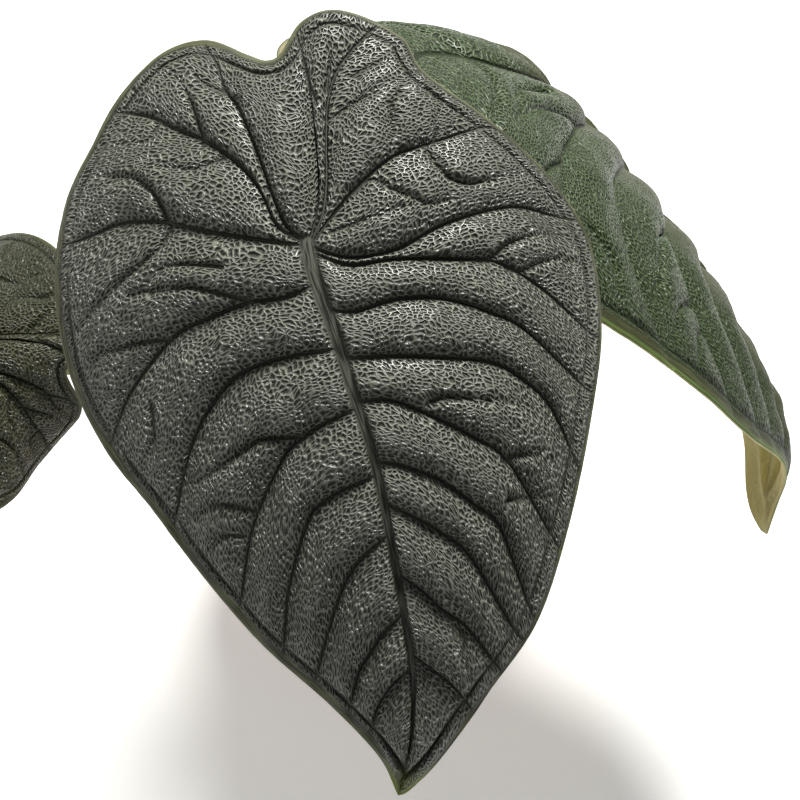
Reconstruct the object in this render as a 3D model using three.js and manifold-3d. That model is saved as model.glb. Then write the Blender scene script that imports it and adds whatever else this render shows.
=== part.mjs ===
// Potted alocasia with three quilted, shield-shaped leaves on slender stalks.
// Millimetres, +Z up, the pot stands on Z = 0 with its axis on the Z axis and the large leaf faces -Y.
import * as THREE from 'three';
import Module from 'manifold-3d';

const wasm = await Module();
wasm.setup();

// Driving dimensions.
const clearance = 0.3;          // air left between pieces that touch

const potHeight = 108;
const potRimRadius = 65;
const potRimDepth = 22;
const potRimTaper = 0.6;        // the rim band widens by this from its foot to its top
const potShoulderRadius = 60.5;
const potFootRadius = 46;
const potWall = 4.5;
const potFloor = 6;
const potEdge = 1.4;            // bevel of the pot's edges
const drainHoleRadius = 4.5;
const drainHoleCircle = 22;
const drainHoles = 4;
const potSegments = 48;

const soilLevel = 95;
const soilSwell = 3;            // the mix stands a little higher round the stem
const soilSwellRadius = 30;
const soilRipple = 0.8;
const soilLumps = 34;
const lumpLength = [2.2, 4.8];
const lumpHeight = [1.3, 2.4];

const stemRadius = 14.5;
const stemBottom = 62;
const stemBottomRadius = 9;
const stemTop = 113;
const stemScars = 5;            // rings left by the leaves that have dropped
const scarLip = 0.35;
const scarGroove = 0.75;
const stemSegments = 28;
const socketDepth = 9;
const socketCircle = 7.4;       // distance of each stalk's foot from the stem's axis

const stalkFootRadius = 4.1;
const stalkFootLength = socketDepth + 5;  // straight part, most of it inside the stem's socket
const stalkSheathRadius = 5.2;
const sheathLength = 62;
const sheathGroove = 0.34;      // depth of the sheath's open side, as a share of the radius
const sheathGrooveAngle = 0.42;
const stalkNeck = 0.35;         // swelling just under the blade

const bladeThickness = 1.1;
const bladeRimThickness = 0.8;
const pillowHeight = 2.7;       // rise of the blade between two main veins
const pillowWidthScale = 8;     // narrower pillows than this stay low
const veinRib = 0.7;            // extra thickness under a main vein
const midribHalfWidth = [[0, 1.9], [40, 1.2], [110, 0.7], [142, 0]];
const midribDepth = [[0, 3.4], [30, 2.9], [90, 2.0], [142, 1.3]];
const midribKeel = [[0, 1.3], [140, 0.2]];  // extra thickness of the blade beside the midrib
const midribKeelWidth = 0.06;   // as a share of the way to the margin
const midribSink = 0.2;
const foldSoftness = 6;         // the fold along the midrib is rounded over about this width
const bendReach = 50;           // a blade's bend angle is reached this far from the midrib
const spineRange = [-90, 190];  // length of flat pattern that a bent blade covers

// Flat pattern of a blade, stalk joint at 0,0 and the tip towards +y.
const midribLine = [
  [0, 0], [1.5, 7.5], [4, 15], [8, 26], [11.5, 37.5], [15.5, 49.5], [18, 58.5], [20.5, 70],
  [22.5, 81], [24.5, 92], [26.5, 103.5], [28, 115.5], [28, 124.5], [27, 136], [24.5, 150.5],
];
const tipStart = [26.1, 142];
const tipPoint = [24, 152.5];
// margin from the tip up the left side, over both basal lobes and down the right side
const marginLine = [
  tipPoint, [18.5, 140], [5, 125.5], [-13.5, 110], [-30, 92], [-45.5, 73], [-60.5, 55.5], [-71.5, 32.5],
  [-75, 6.5], [-72, -18], [-64, -34.5], [-55.5, -49], [-43.5, -60], [-30, -62], [-17.5, -55.5],
  [-12, -53], [-8, -55], [-2.5, -64.5], [8, -68.5], [25, -62.5], [32, -52], [54, -38], [71.5, -23],
  [82.5, -5], [84, 20], [78, 50], [70, 80.5], [61.5, 103.5], [47.5, 123], [34, 143], [27, 151], tipPoint,
];
// main veins in the same order, each from the midrib out towards the margin
const mainVeins = [
  [[27.5, 113.5], [23, 117.5], [20, 122], [18, 126.5], [17, 131.5]],
  [[24.5, 99], [20, 103.5], [17, 108.5], [13.5, 115], [10.5, 126.5]],
  [[19, 78], [14.5, 83], [10, 90], [5, 105], [1, 120]],
  [[16.5, 62], [10.5, 64.5], [4, 68.5], [0, 74], [-5.5, 93], [-7.5, 112]],
  [[13.5, 43.5], [5, 47.5], [-2, 52], [-7, 58], [-15.5, 77], [-19.5, 98.5]],
  [[7, 28.5], [-2, 29.5], [-14, 32.5], [-22.5, 38], [-32.5, 54], [-39, 78]],
  [[1.5, 12], [-6, 14.5], [-15.5, 15.5], [-26, 19], [-37, 24], [-50.5, 39], [-58, 53.5]],
  [[-1, 0.5], [-14, -1.5], [-28, -4.5], [-40, -8], [-52, -9], [-60.5, -7], [-69, -5]],
  [[-1.5, -0.5], [-8, -5], [-13, -15.5], [-19, -23], [-28, -30], [-38, -35.5], [-45.5, -40], [-58, -44]],
  [[-1, -1], [-5.5, -5], [-9.5, -14], [-14, -26.5], [-19.5, -39.5], [-23.5, -45], [-26, -53], [-30, -60]],
  [[1.2, -1.8], [2.6, -8.5], [3, -17.5], [2.2, -28.5], [1, -39], [-0.5, -47.5], [-2.5, -55.5], [-4, -60.5]],
  [[2, -1.5], [4.2, -8.5], [5, -17.5], [4.8, -28.5], [5, -39], [7, -48], [11.5, -56], [18.5, -65]],
  [[3, -1], [8.5, -10], [13, -15.5], [22.5, -25], [34, -30.5], [49.5, -37.5], [56, -36]],
  [[3.5, 1], [11.5, 3.8], [23.5, 1], [35, -6], [46, -11], [58, -14.5], [69, -13.5], [76, -13]],
  [[3, 3], [11.5, 5.8], [23.5, 3.6], [40, 2.5], [52, 2.5], [63.5, 8], [73, 15.5], [80.5, 22]],
  [[6, 18], [13.5, 18], [24.5, 14.5], [37, 14], [50.5, 17.5], [60, 22], [77, 37.5]],
  [[11, 30.5], [19.5, 30], [32.5, 30], [49.5, 31], [59, 36], [66.5, 43.5], [74, 60]],
  [[14, 41.5], [22, 41.5], [32.5, 45.5], [44.5, 51.5], [54, 58.5], [67.5, 81.5]],
  [[18.5, 57.5], [24.5, 58.5], [35, 62.5], [44, 69], [51.5, 76], [60, 99.5]],
  [[21.5, 68.5], [27, 71.5], [35.5, 76.5], [43.5, 83.5], [56, 105]],
  [[24, 87.5], [30, 91.5], [35.5, 97], [42.5, 102.5], [51.5, 115]],
  [[28, 109.5], [33, 113.5], [38.5, 118.5], [44.5, 127]],
];

// How each blade hangs; profiles run along the midrib as [distance from the joint, value].
// pitch: slope below level, heading: compass angle of the midrib, roll: turn about the midrib,
// fold: how far each half drops from the midrib, bend: how much each half keeps bending outwards
const leafFront = {
  joint: [-24.5, -87.4, 277.4],
  scale: 1,
  mirrored: false,
  pitch: [[-60, 20], [0, 30], [70, 42], [145, 58]],
  heading: [[-60, -90], [145, -90]],
  roll: [[-60, 0], [145, 0]],
  foldLow: [[-50, 8], [0, 8], [145, 6]],
  foldHigh: [[-50, 8], [0, 8], [145, 6]],
  bendLow: [[-50, 6], [145, 6]],
  bendHigh: [[-50, 6], [145, 6]],
  acrossStep: 7,
  rows: [0, 0.05, 0.12, 0.21, 0.31, 0.41, 0.51, 0.61, 0.71, 0.81, 0.89, 0.95, 1],
};
const leafRight = {
  joint: [51.8, 17.3, 242.5],
  scale: 1.18,
  mirrored: false,
  pitch: [[-70, -70], [-30, -30], [0, 10], [50, 25], [100, 38], [150, 50]],
  heading: [[-60, -47], [0, -48], [60, -51], [145, -54]],
  roll: [[-60, -45], [0, -52], [90, -57], [130, -66], [152, -98]],
  foldLow: [[-50, 10], [145, 10]],
  foldHigh: [[-60, -10], [-20, 10], [10, 20], [145, 20]],
  bendLow: [[-50, 8], [145, 8]],
  bendHigh: [[-50, 12], [145, 12]],
  acrossStep: 8.5,
  rows: [0, 0.06, 0.14, 0.25, 0.37, 0.49, 0.61, 0.73, 0.84, 0.93, 1],
};
const leafLeft = {
  joint: [-140.8, -67.7, 209.1],
  scale: 0.7,
  mirrored: true,
  pitch: [[-60, -13.5], [0, 5.9], [150, 34.2]],
  heading: [[-60, 173.8], [0, 192.1], [145, 180.6]],
  roll: [[-60, -34.7], [0, -3.3], [150, -9.8]],
  foldLow: [[-50, 3.3], [60, 9.8]],
  foldHigh: [[-50, 37.3], [60, 14.2]],
  bendLow: [[-50, 6.9], [145, 6.9]],
  bendHigh: [[-50, 10.6], [145, 10.6]],
  acrossStep: 10,
  rows: [0, 0.07, 0.16, 0.28, 0.41, 0.54, 0.67, 0.8, 0.92, 1],
};

// Small maths helpers.
const lerp = (a, b, t) => a + (b - a) * t;
const clamp = (v, lo, hi) => Math.min(hi, Math.max(lo, v));
const radians = (degrees) => degrees * Math.PI / 180;
const add3 = (a, b, k = 1) => [a[0] + b[0] * k, a[1] + b[1] * k, a[2] + b[2] * k];
const cross3 = (a, b) => [
  a[1] * b[2] - a[2] * b[1],
  a[2] * b[0] - a[0] * b[2],
  a[0] * b[1] - a[1] * b[0],
];
const unit3 = (a) => {
  const length = Math.hypot(a[0], a[1], a[2]) || 1;
  return [a[0] / length, a[1] / length, a[2] / length];
};

function seededRandom(seed) {
  let state = seed;
  return () => {
    state = (state * 1664525 + 1013904223) % 4294967296;
    return state / 4294967296;
  };
}

// straight-line value of a profile
function linearAt(profile, x) {
  const last = profile.length - 1;
  if (x <= profile[0][0]) return profile[0][1];
  if (x >= profile[last][0]) return profile[last][1];
  let i = 0;
  while (x > profile[i + 1][0]) i += 1;
  const t = (x - profile[i][0]) / (profile[i + 1][0] - profile[i][0]);
  return lerp(profile[i][1], profile[i + 1][1], t);
}

// smooth value of a profile, held constant beyond its ends
function smoothAt(profile, x) {
  const last = profile.length - 1;
  if (x <= profile[0][0]) return profile[0][1];
  if (x >= profile[last][0]) return profile[last][1];
  const slopeAt = (i) => {
    if (i === 0) return (profile[1][1] - profile[0][1]) / (profile[1][0] - profile[0][0]);
    if (i === last) {
      return (profile[last][1] - profile[last - 1][1]) / (profile[last][0] - profile[last - 1][0]);
    }
    const before = profile[i][0] - profile[i - 1][0];
    const after = profile[i + 1][0] - profile[i][0];
    const slopeBefore = (profile[i][1] - profile[i - 1][1]) / before;
    const slopeAfter = (profile[i + 1][1] - profile[i][1]) / after;
    return (slopeBefore * after + slopeAfter * before) / (before + after);
  };
  let i = 0;
  while (x > profile[i + 1][0]) i += 1;
  const h = profile[i + 1][0] - profile[i][0];
  const t = (x - profile[i][0]) / h;
  const t2 = t * t;
  const t3 = t2 * t;
  return (2 * t3 - 3 * t2 + 1) * profile[i][1] + (t3 - 2 * t2 + t) * h * slopeAt(i)
    + (3 * t2 - 2 * t3) * profile[i + 1][1] + (t3 - t2) * h * slopeAt(i + 1);
}

// a smooth flat curve through points, measured along its length
class FlatPath {
  constructor(points, smooth = true) {
    this.points = smooth ? FlatPath.rounded(points) : points;
    this.along = [0];
    for (let i = 1; i < this.points.length; i += 1) {
      const [ax, ay] = this.points[i - 1];
      const [bx, by] = this.points[i];
      this.along.push(this.along[i - 1] + Math.hypot(bx - ax, by - ay));
    }
    this.length = this.along[this.along.length - 1];
  }

  static rounded(points) {
    const first = [2 * points[0][0] - points[1][0], 2 * points[0][1] - points[1][1]];
    const n = points.length;
    const last = [2 * points[n - 1][0] - points[n - 2][0], 2 * points[n - 1][1] - points[n - 2][1]];
    const all = [first, ...points, last];
    const steps = 24;
    const out = [];
    for (let i = 1; i < all.length - 2; i += 1) {
      for (let k = 0; k < steps; k += 1) {
        const t = k / steps;
        out.push([0, 1].map((c) => {
          const [p0, p1, p2, p3] = [all[i - 1][c], all[i][c], all[i + 1][c], all[i + 2][c]];
          return 0.5 * (2 * p1 + (p2 - p0) * t + (2 * p0 - 5 * p1 + 4 * p2 - p3) * t * t
            + (3 * p1 - p0 - 3 * p2 + p3) * t * t * t);
        }));
      }
    }
    out.push(points[n - 1]);
    return out;
  }

  at(distance) {
    const d = clamp(distance, 0, this.length);
    let lo = 0;
    let hi = this.along.length - 1;
    while (hi - lo > 1) {
      const mid = (lo + hi) >> 1;
      if (this.along[mid] <= d) lo = mid;
      else hi = mid;
    }
    const t = (d - this.along[lo]) / (this.along[hi] - this.along[lo] || 1);
    return [lerp(this.points[lo][0], this.points[hi][0], t), lerp(this.points[lo][1], this.points[hi][1], t)];
  }

  nearest(point) {
    let best = 0;
    let bestDistance = Infinity;
    this.points.forEach((p, i) => {
      const d = Math.hypot(p[0] - point[0], p[1] - point[1]);
      if (d < bestDistance) {
        bestDistance = d;
        best = i;
      }
    });
    return this.along[best];
  }
}

// The blade's flat net: columns follow the veins, rows run from the midrib to the margin.
const midribPath = new FlatPath(midribLine);
const marginPath = new FlatPath(marginLine);
const midribByY = midribPath.points.map(([x, y]) => [y, x]);
const midribX = (y) => linearAt(midribByY, y);
const midribEnd = midribLine[midribLine.length - 1][1];

function midribEdge() {
  const left = [];
  const right = [];
  const steps = 180;
  for (let i = 0; i <= steps; i += 1) {
    const y = lerp(tipStart[1], 0, i / steps);
    const half = linearAt(midribHalfWidth, y);
    left.push([midribX(y) - half, y]);
    right.unshift([midribX(y) + half, y]);
  }
  const hub = [];
  const hubSteps = 60;
  for (let i = 1; i < hubSteps; i += 1) {
    const angle = radians(180 + 180 * i / hubSteps);
    hub.push([midribHalfWidth[0][1] * Math.cos(angle), midribHalfWidth[0][1] * Math.sin(angle)]);
  }
  return new FlatPath([...left, ...hub, ...right], false);
}
const midribEdgePath = midribEdge();

const veinColumns = [
  { root: 0, end: 0, path: new FlatPath([tipStart, tipPoint], false) },
  ...mainVeins.map((vein) => {
    const root = midribEdgePath.nearest(vein[0]);
    const end = marginPath.nearest(vein[vein.length - 1]);
    const line = [midribEdgePath.at(root), ...vein.slice(1), marginPath.at(end)];
    return { root, end, path: new FlatPath(line) };
  }),
  { root: midribEdgePath.length, end: marginPath.length, path: new FlatPath([tipStart, tipPoint], false) },
];

// flat position and local pillow width for interval k, fraction f across it and row q
function flatPoint(k, f, q) {
  const a = veinColumns[k];
  const b = veinColumns[k + 1];
  const pa = a.path.at(q * a.path.length);
  const pb = b.path.at(q * b.path.length);
  const a0 = a.path.at(0);
  const b0 = b.path.at(0);
  const a1 = a.path.at(a.path.length);
  const b1 = b.path.at(b.path.length);
  const root = midribEdgePath.at(lerp(a.root, b.root, f));
  const end = marginPath.at(lerp(a.end, b.end, f));
  const point = [0, 1].map((c) => lerp(pa[c], pb[c], f)
    + (1 - q) * (root[c] - lerp(a0[c], b0[c], f)) + q * (end[c] - lerp(a1[c], b1[c], f)));
  return { point, width: Math.hypot(pa[0] - pb[0], pa[1] - pb[1]) };
}

// rise of the blade between two veins: round across, fullest in the inner half, flat at the margin
function pillowRise(f, q, width) {
  const marginBand = 0.12;
  const across = Math.sin(Math.PI * f) ** 0.7;
  const along = Math.max(0, Math.sin(Math.PI * q ** 0.6)) ** 0.45;
  const atMargin = clamp((1 - q) / marginBand, 0, 1) ** 0.5;
  return pillowHeight * (1 - Math.exp(-width / pillowWidthScale)) * across * along * atMargin;
}

// Bending the flat pattern into a hanging blade.
class HangingBlade {
  constructor(shape) {
    this.shape = shape;
    this.step = 1;
    this.frames = [];
    for (let y = spineRange[0]; y <= spineRange[1]; y += this.step) {
      const pitch = radians(smoothAt(shape.pitch, y));
      const heading = radians(smoothAt(shape.heading, y));
      const roll = radians(smoothAt(shape.roll, y));
      const tangent = [
        Math.cos(pitch) * Math.cos(heading),
        Math.cos(pitch) * Math.sin(heading),
        -Math.sin(pitch),
      ];
      const level = [-Math.sin(heading), Math.cos(heading), 0];
      const upright = cross3(tangent, level);
      const side = add3(level.map((v) => v * Math.cos(roll)), upright, Math.sin(roll));
      const normal = add3(level.map((v) => -v * Math.sin(roll)), upright, Math.cos(roll));
      this.frames.push({ tangent, side, normal, spine: [0, 0, 0] });
    }
    for (let i = 1; i < this.frames.length; i += 1) {
      const a = this.frames[i - 1];
      const b = this.frames[i];
      b.spine = a.spine.map((v, c) => v + (a.tangent[c] + b.tangent[c]) / 2 * this.step);
    }
    const origin = this.frames[-spineRange[0] / this.step].spine;
    this.frames.forEach((frame) => {
      frame.spine = add3(frame.spine, origin, -1);
    });
  }

  // point of the smooth blade, without pillows, at a flat pattern position
  at([x, y]) {
    const { shape } = this;
    const place = clamp((y - spineRange[0]) / this.step, 0, this.frames.length - 1.001);
    const i = Math.floor(place);
    const t = place - i;
    const a = this.frames[i];
    const b = this.frames[i + 1];
    const hand = shape.mirrored ? -1 : 1;
    const middle = midribX(clamp(y, 0, midribEnd));
    const w = (x - middle) * hand;
    const reach = Math.abs(w);
    const fold = radians(smoothAt(w > 0 ? shape.foldHigh : shape.foldLow, y));
    const bend = radians(smoothAt(w > 0 ? shape.bendHigh : shape.bendLow, y));
    const angle = fold * reach / (reach + foldSoftness) + bend * reach / bendReach;
    const out = Math.sign(w) * reach * Math.cos(angle) + middle * hand;
    const drop = -reach * Math.sin(angle);
    return [0, 1, 2].map((c) => {
      const spine = lerp(a.spine[c], b.spine[c], t);
      const side = lerp(a.side[c], b.side[c], t);
      const normal = lerp(a.normal[c], b.normal[c], t);
      return shape.joint[c] + shape.scale * (spine + side * out + normal * drop);
    });
  }

  // unit vector square to the smooth blade on its upper side
  normalAt([x, y]) {
    const e = 0.4;
    const dx = add3(this.at([x + e, y]), this.at([x - e, y]), -1);
    const dy = add3(this.at([x, y + e]), this.at([x, y - e]), -1);
    const n = unit3(cross3(dx, dy));
    return this.shape.mirrored ? n : n.map((v) => -v);
  }
}

// closed blade: upper and lower skins over one net, joined round the margin
function buildBlade(shape) {
  const blade = new HangingBlade(shape);
  const { scale, rows } = shape;
  const upper = [];
  const lower = [];
  const addVertex = (flat, rise, thick) => {
    const base = blade.at(flat);
    const n = blade.normalAt(flat);
    upper.push(add3(base, n, rise * scale));
    lower.push(add3(base, n, (rise - thick) * scale));
    return upper.length - 1;
  };
  const rowThickness = (f, q, y) => {
    const body = lerp(bladeThickness, bladeRimThickness, q ** 3);
    const underMidrib = linearAt(midribKeel, y) * Math.exp(-q / midribKeelWidth);
    const underVein = f === 0 ? veinRib * (1 - q) : 0;
    return body + underMidrib + underVein;
  };

  // columns of vertices from the tip, round the lobes and back to the tip
  const columns = [];
  for (let k = 0; k < veinColumns.length - 1; k += 1) {
    const span = (veinColumns[k + 1].end - veinColumns[k].end) * scale;
    const count = clamp(Math.round(span / shape.acrossStep), 2, 6);
    for (let j = 0; j < count; j += 1) {
      const f = j / count;
      const rootAlong = lerp(veinColumns[k].root, veinColumns[k + 1].root, f);
      const ids = rows.map((q) => {
        const { point, width } = flatPoint(k, f, q);
        return addVertex(point, pillowRise(f, q, width), rowThickness(f, q, point[1]));
      });
      columns.push({ ids, rootAlong, root: midribEdgePath.at(rootAlong) });
    }
  }
  const triangles = [];
  for (let i = 0; i < columns.length; i += 1) {
    const a = columns[i].ids;
    const b = columns[(i + 1) % columns.length].ids;
    for (let j = 0; j < rows.length - 1; j += 1) {
      triangles.push([a[j], b[j], b[j + 1]], [a[j], b[j + 1], a[j + 1]]);
    }
  }

  // the midrib strip: a centre line stitched to the inner ends of the columns
  const centre = [{ id: columns[0].ids[0], place: -tipStart[1] }];
  const centreSteps = 15;
  for (let i = 1; i <= centreSteps; i += 1) {
    const y = lerp(tipStart[1], 0, i / centreSteps);
    const id = addVertex([midribX(y), y], -midribSink, linearAt(midribDepth, y));
    centre.push({ id, place: -y });
  }
  const hubTop = midribEdgePath.nearest([0, -midribHalfWidth[0][1]]);
  const place = (column) => ({ id: column.ids[0], place: -column.root[1] });
  const leftEdge = columns.filter((column) => column.rootAlong <= hubTop).map(place);
  const rightEdge = columns.filter((column) => column.rootAlong > hubTop).map(place).reverse();
  rightEdge.unshift(leftEdge[0]);
  const stitch = (edge, flip) => {
    let i = 0;
    let j = 0;
    while (i < edge.length - 1 || j < centre.length - 1) {
      const edgeNext = i < edge.length - 1 ? edge[i + 1].place : Infinity;
      const centreNext = j < centre.length - 1 ? centre[j + 1].place : Infinity;
      let triangle;
      if (edgeNext <= centreNext) {
        triangle = [edge[i].id, centre[j].id, edge[i + 1].id];
        i += 1;
      } else {
        triangle = [edge[i].id, centre[j].id, centre[j + 1].id];
        j += 1;
      }
      if (new Set(triangle).size < 3) continue;
      triangles.push(flip ? [triangle[0], triangle[2], triangle[1]] : triangle);
    }
  };
  stitch(leftEdge, false);
  stitch(rightEdge, true);
  triangles.push([
    leftEdge[leftEdge.length - 1].id,
    centre[centre.length - 1].id,
    rightEdge[rightEdge.length - 1].id,
  ]);

  const count = upper.length;
  const positions = [...upper, ...lower].flat();
  const index = [];
  triangles.forEach(([a, b, c]) => {
    index.push(a, b, c, a + count, c + count, b + count);
  });
  const rim = rows.length - 1;
  for (let i = 0; i < columns.length; i += 1) {
    const a = columns[i].ids[rim];
    const b = columns[(i + 1) % columns.length].ids[rim];
    index.push(a, b, b + count, a, b + count, a + count);
  }
  return facedOut(positions, index);
}

// turns every face round when the closed skin encloses a negative volume
function facedOut(positions, index) {
  let volume = 0;
  for (let i = 0; i < index.length; i += 3) {
    const [a, b, c] = [0, 1, 2].map((k) => positions.slice(index[i + k] * 3, index[i + k] * 3 + 3));
    const n = cross3(b, c);
    volume += a[0] * n[0] + a[1] * n[1] + a[2] * n[2];
  }
  const faces = [...index];
  if (volume < 0) {
    for (let i = 0; i < faces.length; i += 3) [faces[i + 1], faces[i + 2]] = [faces[i + 2], faces[i + 1]];
  }
  const geometry = new THREE.BufferGeometry();
  geometry.setAttribute('position', new THREE.Float32BufferAttribute(positions, 3));
  geometry.setIndex(faces);
  return geometry;
}

// Solids for joining and cutting.
function toSolid(geometry) {
  const position = geometry.getAttribute('position');
  const count = geometry.index ? geometry.index.count : position.count;
  const seen = new Map();
  const vertices = [];
  const faces = [];
  for (let i = 0; i < count; i += 1) {
    const v = geometry.index ? geometry.index.getX(i) : i;
    const xyz = [position.getX(v), position.getY(v), position.getZ(v)];
    const key = xyz.map((value) => Math.round(value * 1e4)).join(',');
    if (!seen.has(key)) {
      seen.set(key, vertices.length / 3);
      vertices.push(...xyz);
    }
    faces.push(seen.get(key));
  }
  const kept = [];
  for (let i = 0; i < faces.length; i += 3) {
    const [a, b, c] = faces.slice(i, i + 3);
    if (a !== b && b !== c && a !== c) kept.push(a, b, c);
  }
  return new wasm.Manifold(new wasm.Mesh({
    numProp: 3,
    vertProperties: new Float32Array(vertices),
    triVerts: new Uint32Array(kept),
  }));
}

function fromSolid(solid) {
  const mesh = solid.getMesh();
  const geometry = new THREE.BufferGeometry();
  const xyz = [];
  for (let i = 0; i < mesh.vertProperties.length; i += mesh.numProp) {
    xyz.push(mesh.vertProperties[i], mesh.vertProperties[i + 1], mesh.vertProperties[i + 2]);
  }
  geometry.setAttribute('position', new THREE.Float32BufferAttribute(xyz, 3));
  geometry.setIndex([...mesh.triVerts]);
  return geometry;
}

// profile of [radius, height] pairs turned round the Z axis
function turned(profile, segments) {
  const geometry = new THREE.LatheGeometry(profile.map(([r, z]) => new THREE.Vector2(r, z)), segments);
  geometry.rotateX(Math.PI / 2);
  const position = geometry.getAttribute('position');
  const index = [...geometry.index.array];
  return facedOut([...position.array], index);
}

// ring sections strung along a path and closed with a flat cap at each end
function lofted(sections) {
  const sides = sections[0].length;
  const positions = sections.flat(2);
  const index = [];
  for (let i = 0; i < sections.length - 1; i += 1) {
    for (let j = 0; j < sides; j += 1) {
      const a = i * sides + j;
      const b = i * sides + (j + 1) % sides;
      index.push(a, b, b + sides, a, b + sides, a + sides);
    }
  }
  [[0, 1], [sections.length - 1, -1]].forEach(([row, hand]) => {
    const centre = [0, 1, 2].map((c) => sections[row].reduce((sum, p) => sum + p[c], 0) / sides);
    const id = positions.length / 3;
    positions.push(...centre);
    for (let j = 0; j < sides; j += 1) {
      const a = row * sides + j;
      const b = row * sides + (j + 1) % sides;
      if (hand > 0) index.push(id, b, a);
      else index.push(id, a, b);
    }
  });
  return facedOut(positions, index);
}

// Pot.
function potInnerRadius(z) {
  const foot = potFootRadius - potWall;
  const rimBottom = potHeight - potRimDepth;
  const shoulder = potShoulderRadius - potWall;
  const rim = potRimRadius - potWall - 1;
  if (z < rimBottom) return lerp(foot, shoulder, (z - potFloor) / (rimBottom - potFloor));
  return lerp(shoulder, rim, (z - rimBottom) / potRimDepth);
}

function buildPot() {
  const rimBottom = potHeight - potRimDepth;
  const profile = [
    [0, 0],
    [potFootRadius - potEdge, 0],
    [potFootRadius, potEdge],
    [potShoulderRadius, rimBottom - potEdge],
    [potRimRadius - potRimTaper - potEdge, rimBottom],
    [potRimRadius - potRimTaper, rimBottom + potEdge],
    [potRimRadius, potHeight - potEdge],
    [potRimRadius - potEdge, potHeight],
    [potInnerRadius(potHeight) + potEdge, potHeight],
    [potInnerRadius(potHeight), potHeight - potEdge],
    [potInnerRadius(rimBottom), rimBottom],
    [potInnerRadius(potFloor), potFloor],
    [0, potFloor],
  ];
  let pot = toSolid(turned(profile, potSegments));
  for (let i = 0; i < drainHoles; i += 1) {
    const angle = radians(360 / drainHoles * (i + 0.5));
    const [under, over] = [-potFloor, 2 * potFloor];
    const hole = turned([[0, under], [drainHoleRadius, under], [drainHoleRadius, over], [0, over]], 20);
    hole.translate(drainHoleCircle * Math.cos(angle), drainHoleCircle * Math.sin(angle), 0);
    pot = pot.subtract(toSolid(hole));
  }
  return fromSolid(pot);
}

// Stalks.
const flareStart = socketDepth + 2;
const flareLength = 6;

// straight foot in the stem's socket, then a curve to the joint square under the blade
class StalkLine {
  constructor({ shape, foot, lean, pulls }) {
    const blade = new HangingBlade(shape);
    const n = blade.normalAt([0, 0]);
    const end = add3(blade.at([0, 0]), n, -(midribDepth[0][1] + 0.2) * shape.scale - clearance);
    this.foot = foot;
    this.axis = unit3(lean);
    const start = add3(foot, this.axis, stalkFootLength);
    this.curve = new THREE.CubicBezierCurve3(
      new THREE.Vector3(...start),
      new THREE.Vector3(...add3(start, this.axis, pulls[0])),
      new THREE.Vector3(...add3(end, n, -pulls[1])),
      new THREE.Vector3(...end),
    );
    this.length = stalkFootLength + this.curve.getLength();
  }

  at(distance) {
    const u = (distance - stalkFootLength) / (this.length - stalkFootLength);
    if (u <= 0) {
      return {
        centre: new THREE.Vector3(...add3(this.foot, this.axis, distance)),
        tangent: new THREE.Vector3(...this.axis),
      };
    }
    const onCurve = Math.min(u, 1);
    return { centre: this.curve.getPointAt(onCurve), tangent: this.curve.getTangentAt(onCurve) };
  }
}

function stalkRadius(distance, total, tipRadius) {
  if (distance < flareStart) return stalkFootRadius;
  const rise = clamp((distance - flareStart) / flareLength, 0, 1);
  const sheath = lerp(stalkFootRadius, stalkSheathRadius, rise * rise * (3 - 2 * rise));
  const flareEnd = flareStart + flareLength;
  const t = clamp((distance - flareEnd) / (total - flareEnd), 0, 1);
  const neck = stalkNeck * Math.exp(-(((total - distance) / 5) ** 2));
  return lerp(sheath, tipRadius, t ** 0.75) + neck;
}

function buildStalk(stalk) {
  const line = stalk.line;
  const total = line.length;
  const sides = 14;
  const nearFoot = [0, 3, flareStart, flareStart + 3, flareStart + flareLength, 30, 44];
  const middle = [sheathLength, 82, 104, 128].filter((distance) => distance < total - 26);
  const nearTip = [24, 12, 5, 1, 0].map((back) => total - back);
  let side = new THREE.Vector3(...unit3(stalk.groove));
  const sections = [...nearFoot, ...middle, ...nearTip].map((distance) => {
    const { centre, tangent } = line.at(distance);
    side = side.clone().addScaledVector(tangent, -side.dot(tangent)).normalize();
    const other = new THREE.Vector3().crossVectors(tangent, side);
    const atEnd = distance === 0 || distance === total;
    const radius = stalkRadius(distance, total, stalk.tipRadius) * (atEnd ? 0.75 : 1);
    const aboveSocket = distance - flareStart;
    const open = aboveSocket > 0 ? clamp(1 - aboveSocket / sheathLength, 0, 1) : 0;
    const ring = [];
    for (let j = 0; j < sides; j += 1) {
      const angle = 2 * Math.PI * j / sides;
      const fromGroove = Math.min(angle, 2 * Math.PI - angle) / sheathGrooveAngle;
      const r = radius * (1 - sheathGroove * open * Math.exp(-(fromGroove ** 2)));
      const p = centre.clone();
      p.addScaledVector(side, r * Math.cos(angle));
      p.addScaledVector(other, r * Math.sin(angle));
      ring.push([p.x, p.y, p.z]);
    }
    return ring;
  });
  return lofted(sections);
}

const socketPoint = (degrees) => [
  socketCircle * Math.cos(radians(degrees)),
  socketCircle * Math.sin(radians(degrees)),
  stemTop - socketDepth,
];
// lean: direction of the foot, pulls: how far each end of the curve holds its direction,
// groove: side on which the sheath is open
const stalks = {
  front: {
    shape: leafFront,
    foot: socketPoint(-95),
    lean: [-0.05, -0.16, 1],
    pulls: [95, 55],
    groove: [0, 1, 0],
    tipRadius: 2.8,
  },
  right: {
    shape: leafRight,
    foot: socketPoint(25),
    lean: [0.16, 0.1, 1],
    pulls: [70, 45],
    groove: [-1, -0.4, 0],
    tipRadius: 2.9,
  },
  left: {
    shape: leafLeft,
    foot: socketPoint(148),
    lean: [-0.33, -0.04, 1],
    pulls: [80, 48],
    groove: [1, -0.5, 0],
    tipRadius: 2.2,
  },
};
Object.values(stalks).forEach((stalk) => {
  stalk.line = new StalkLine(stalk);
});

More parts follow.
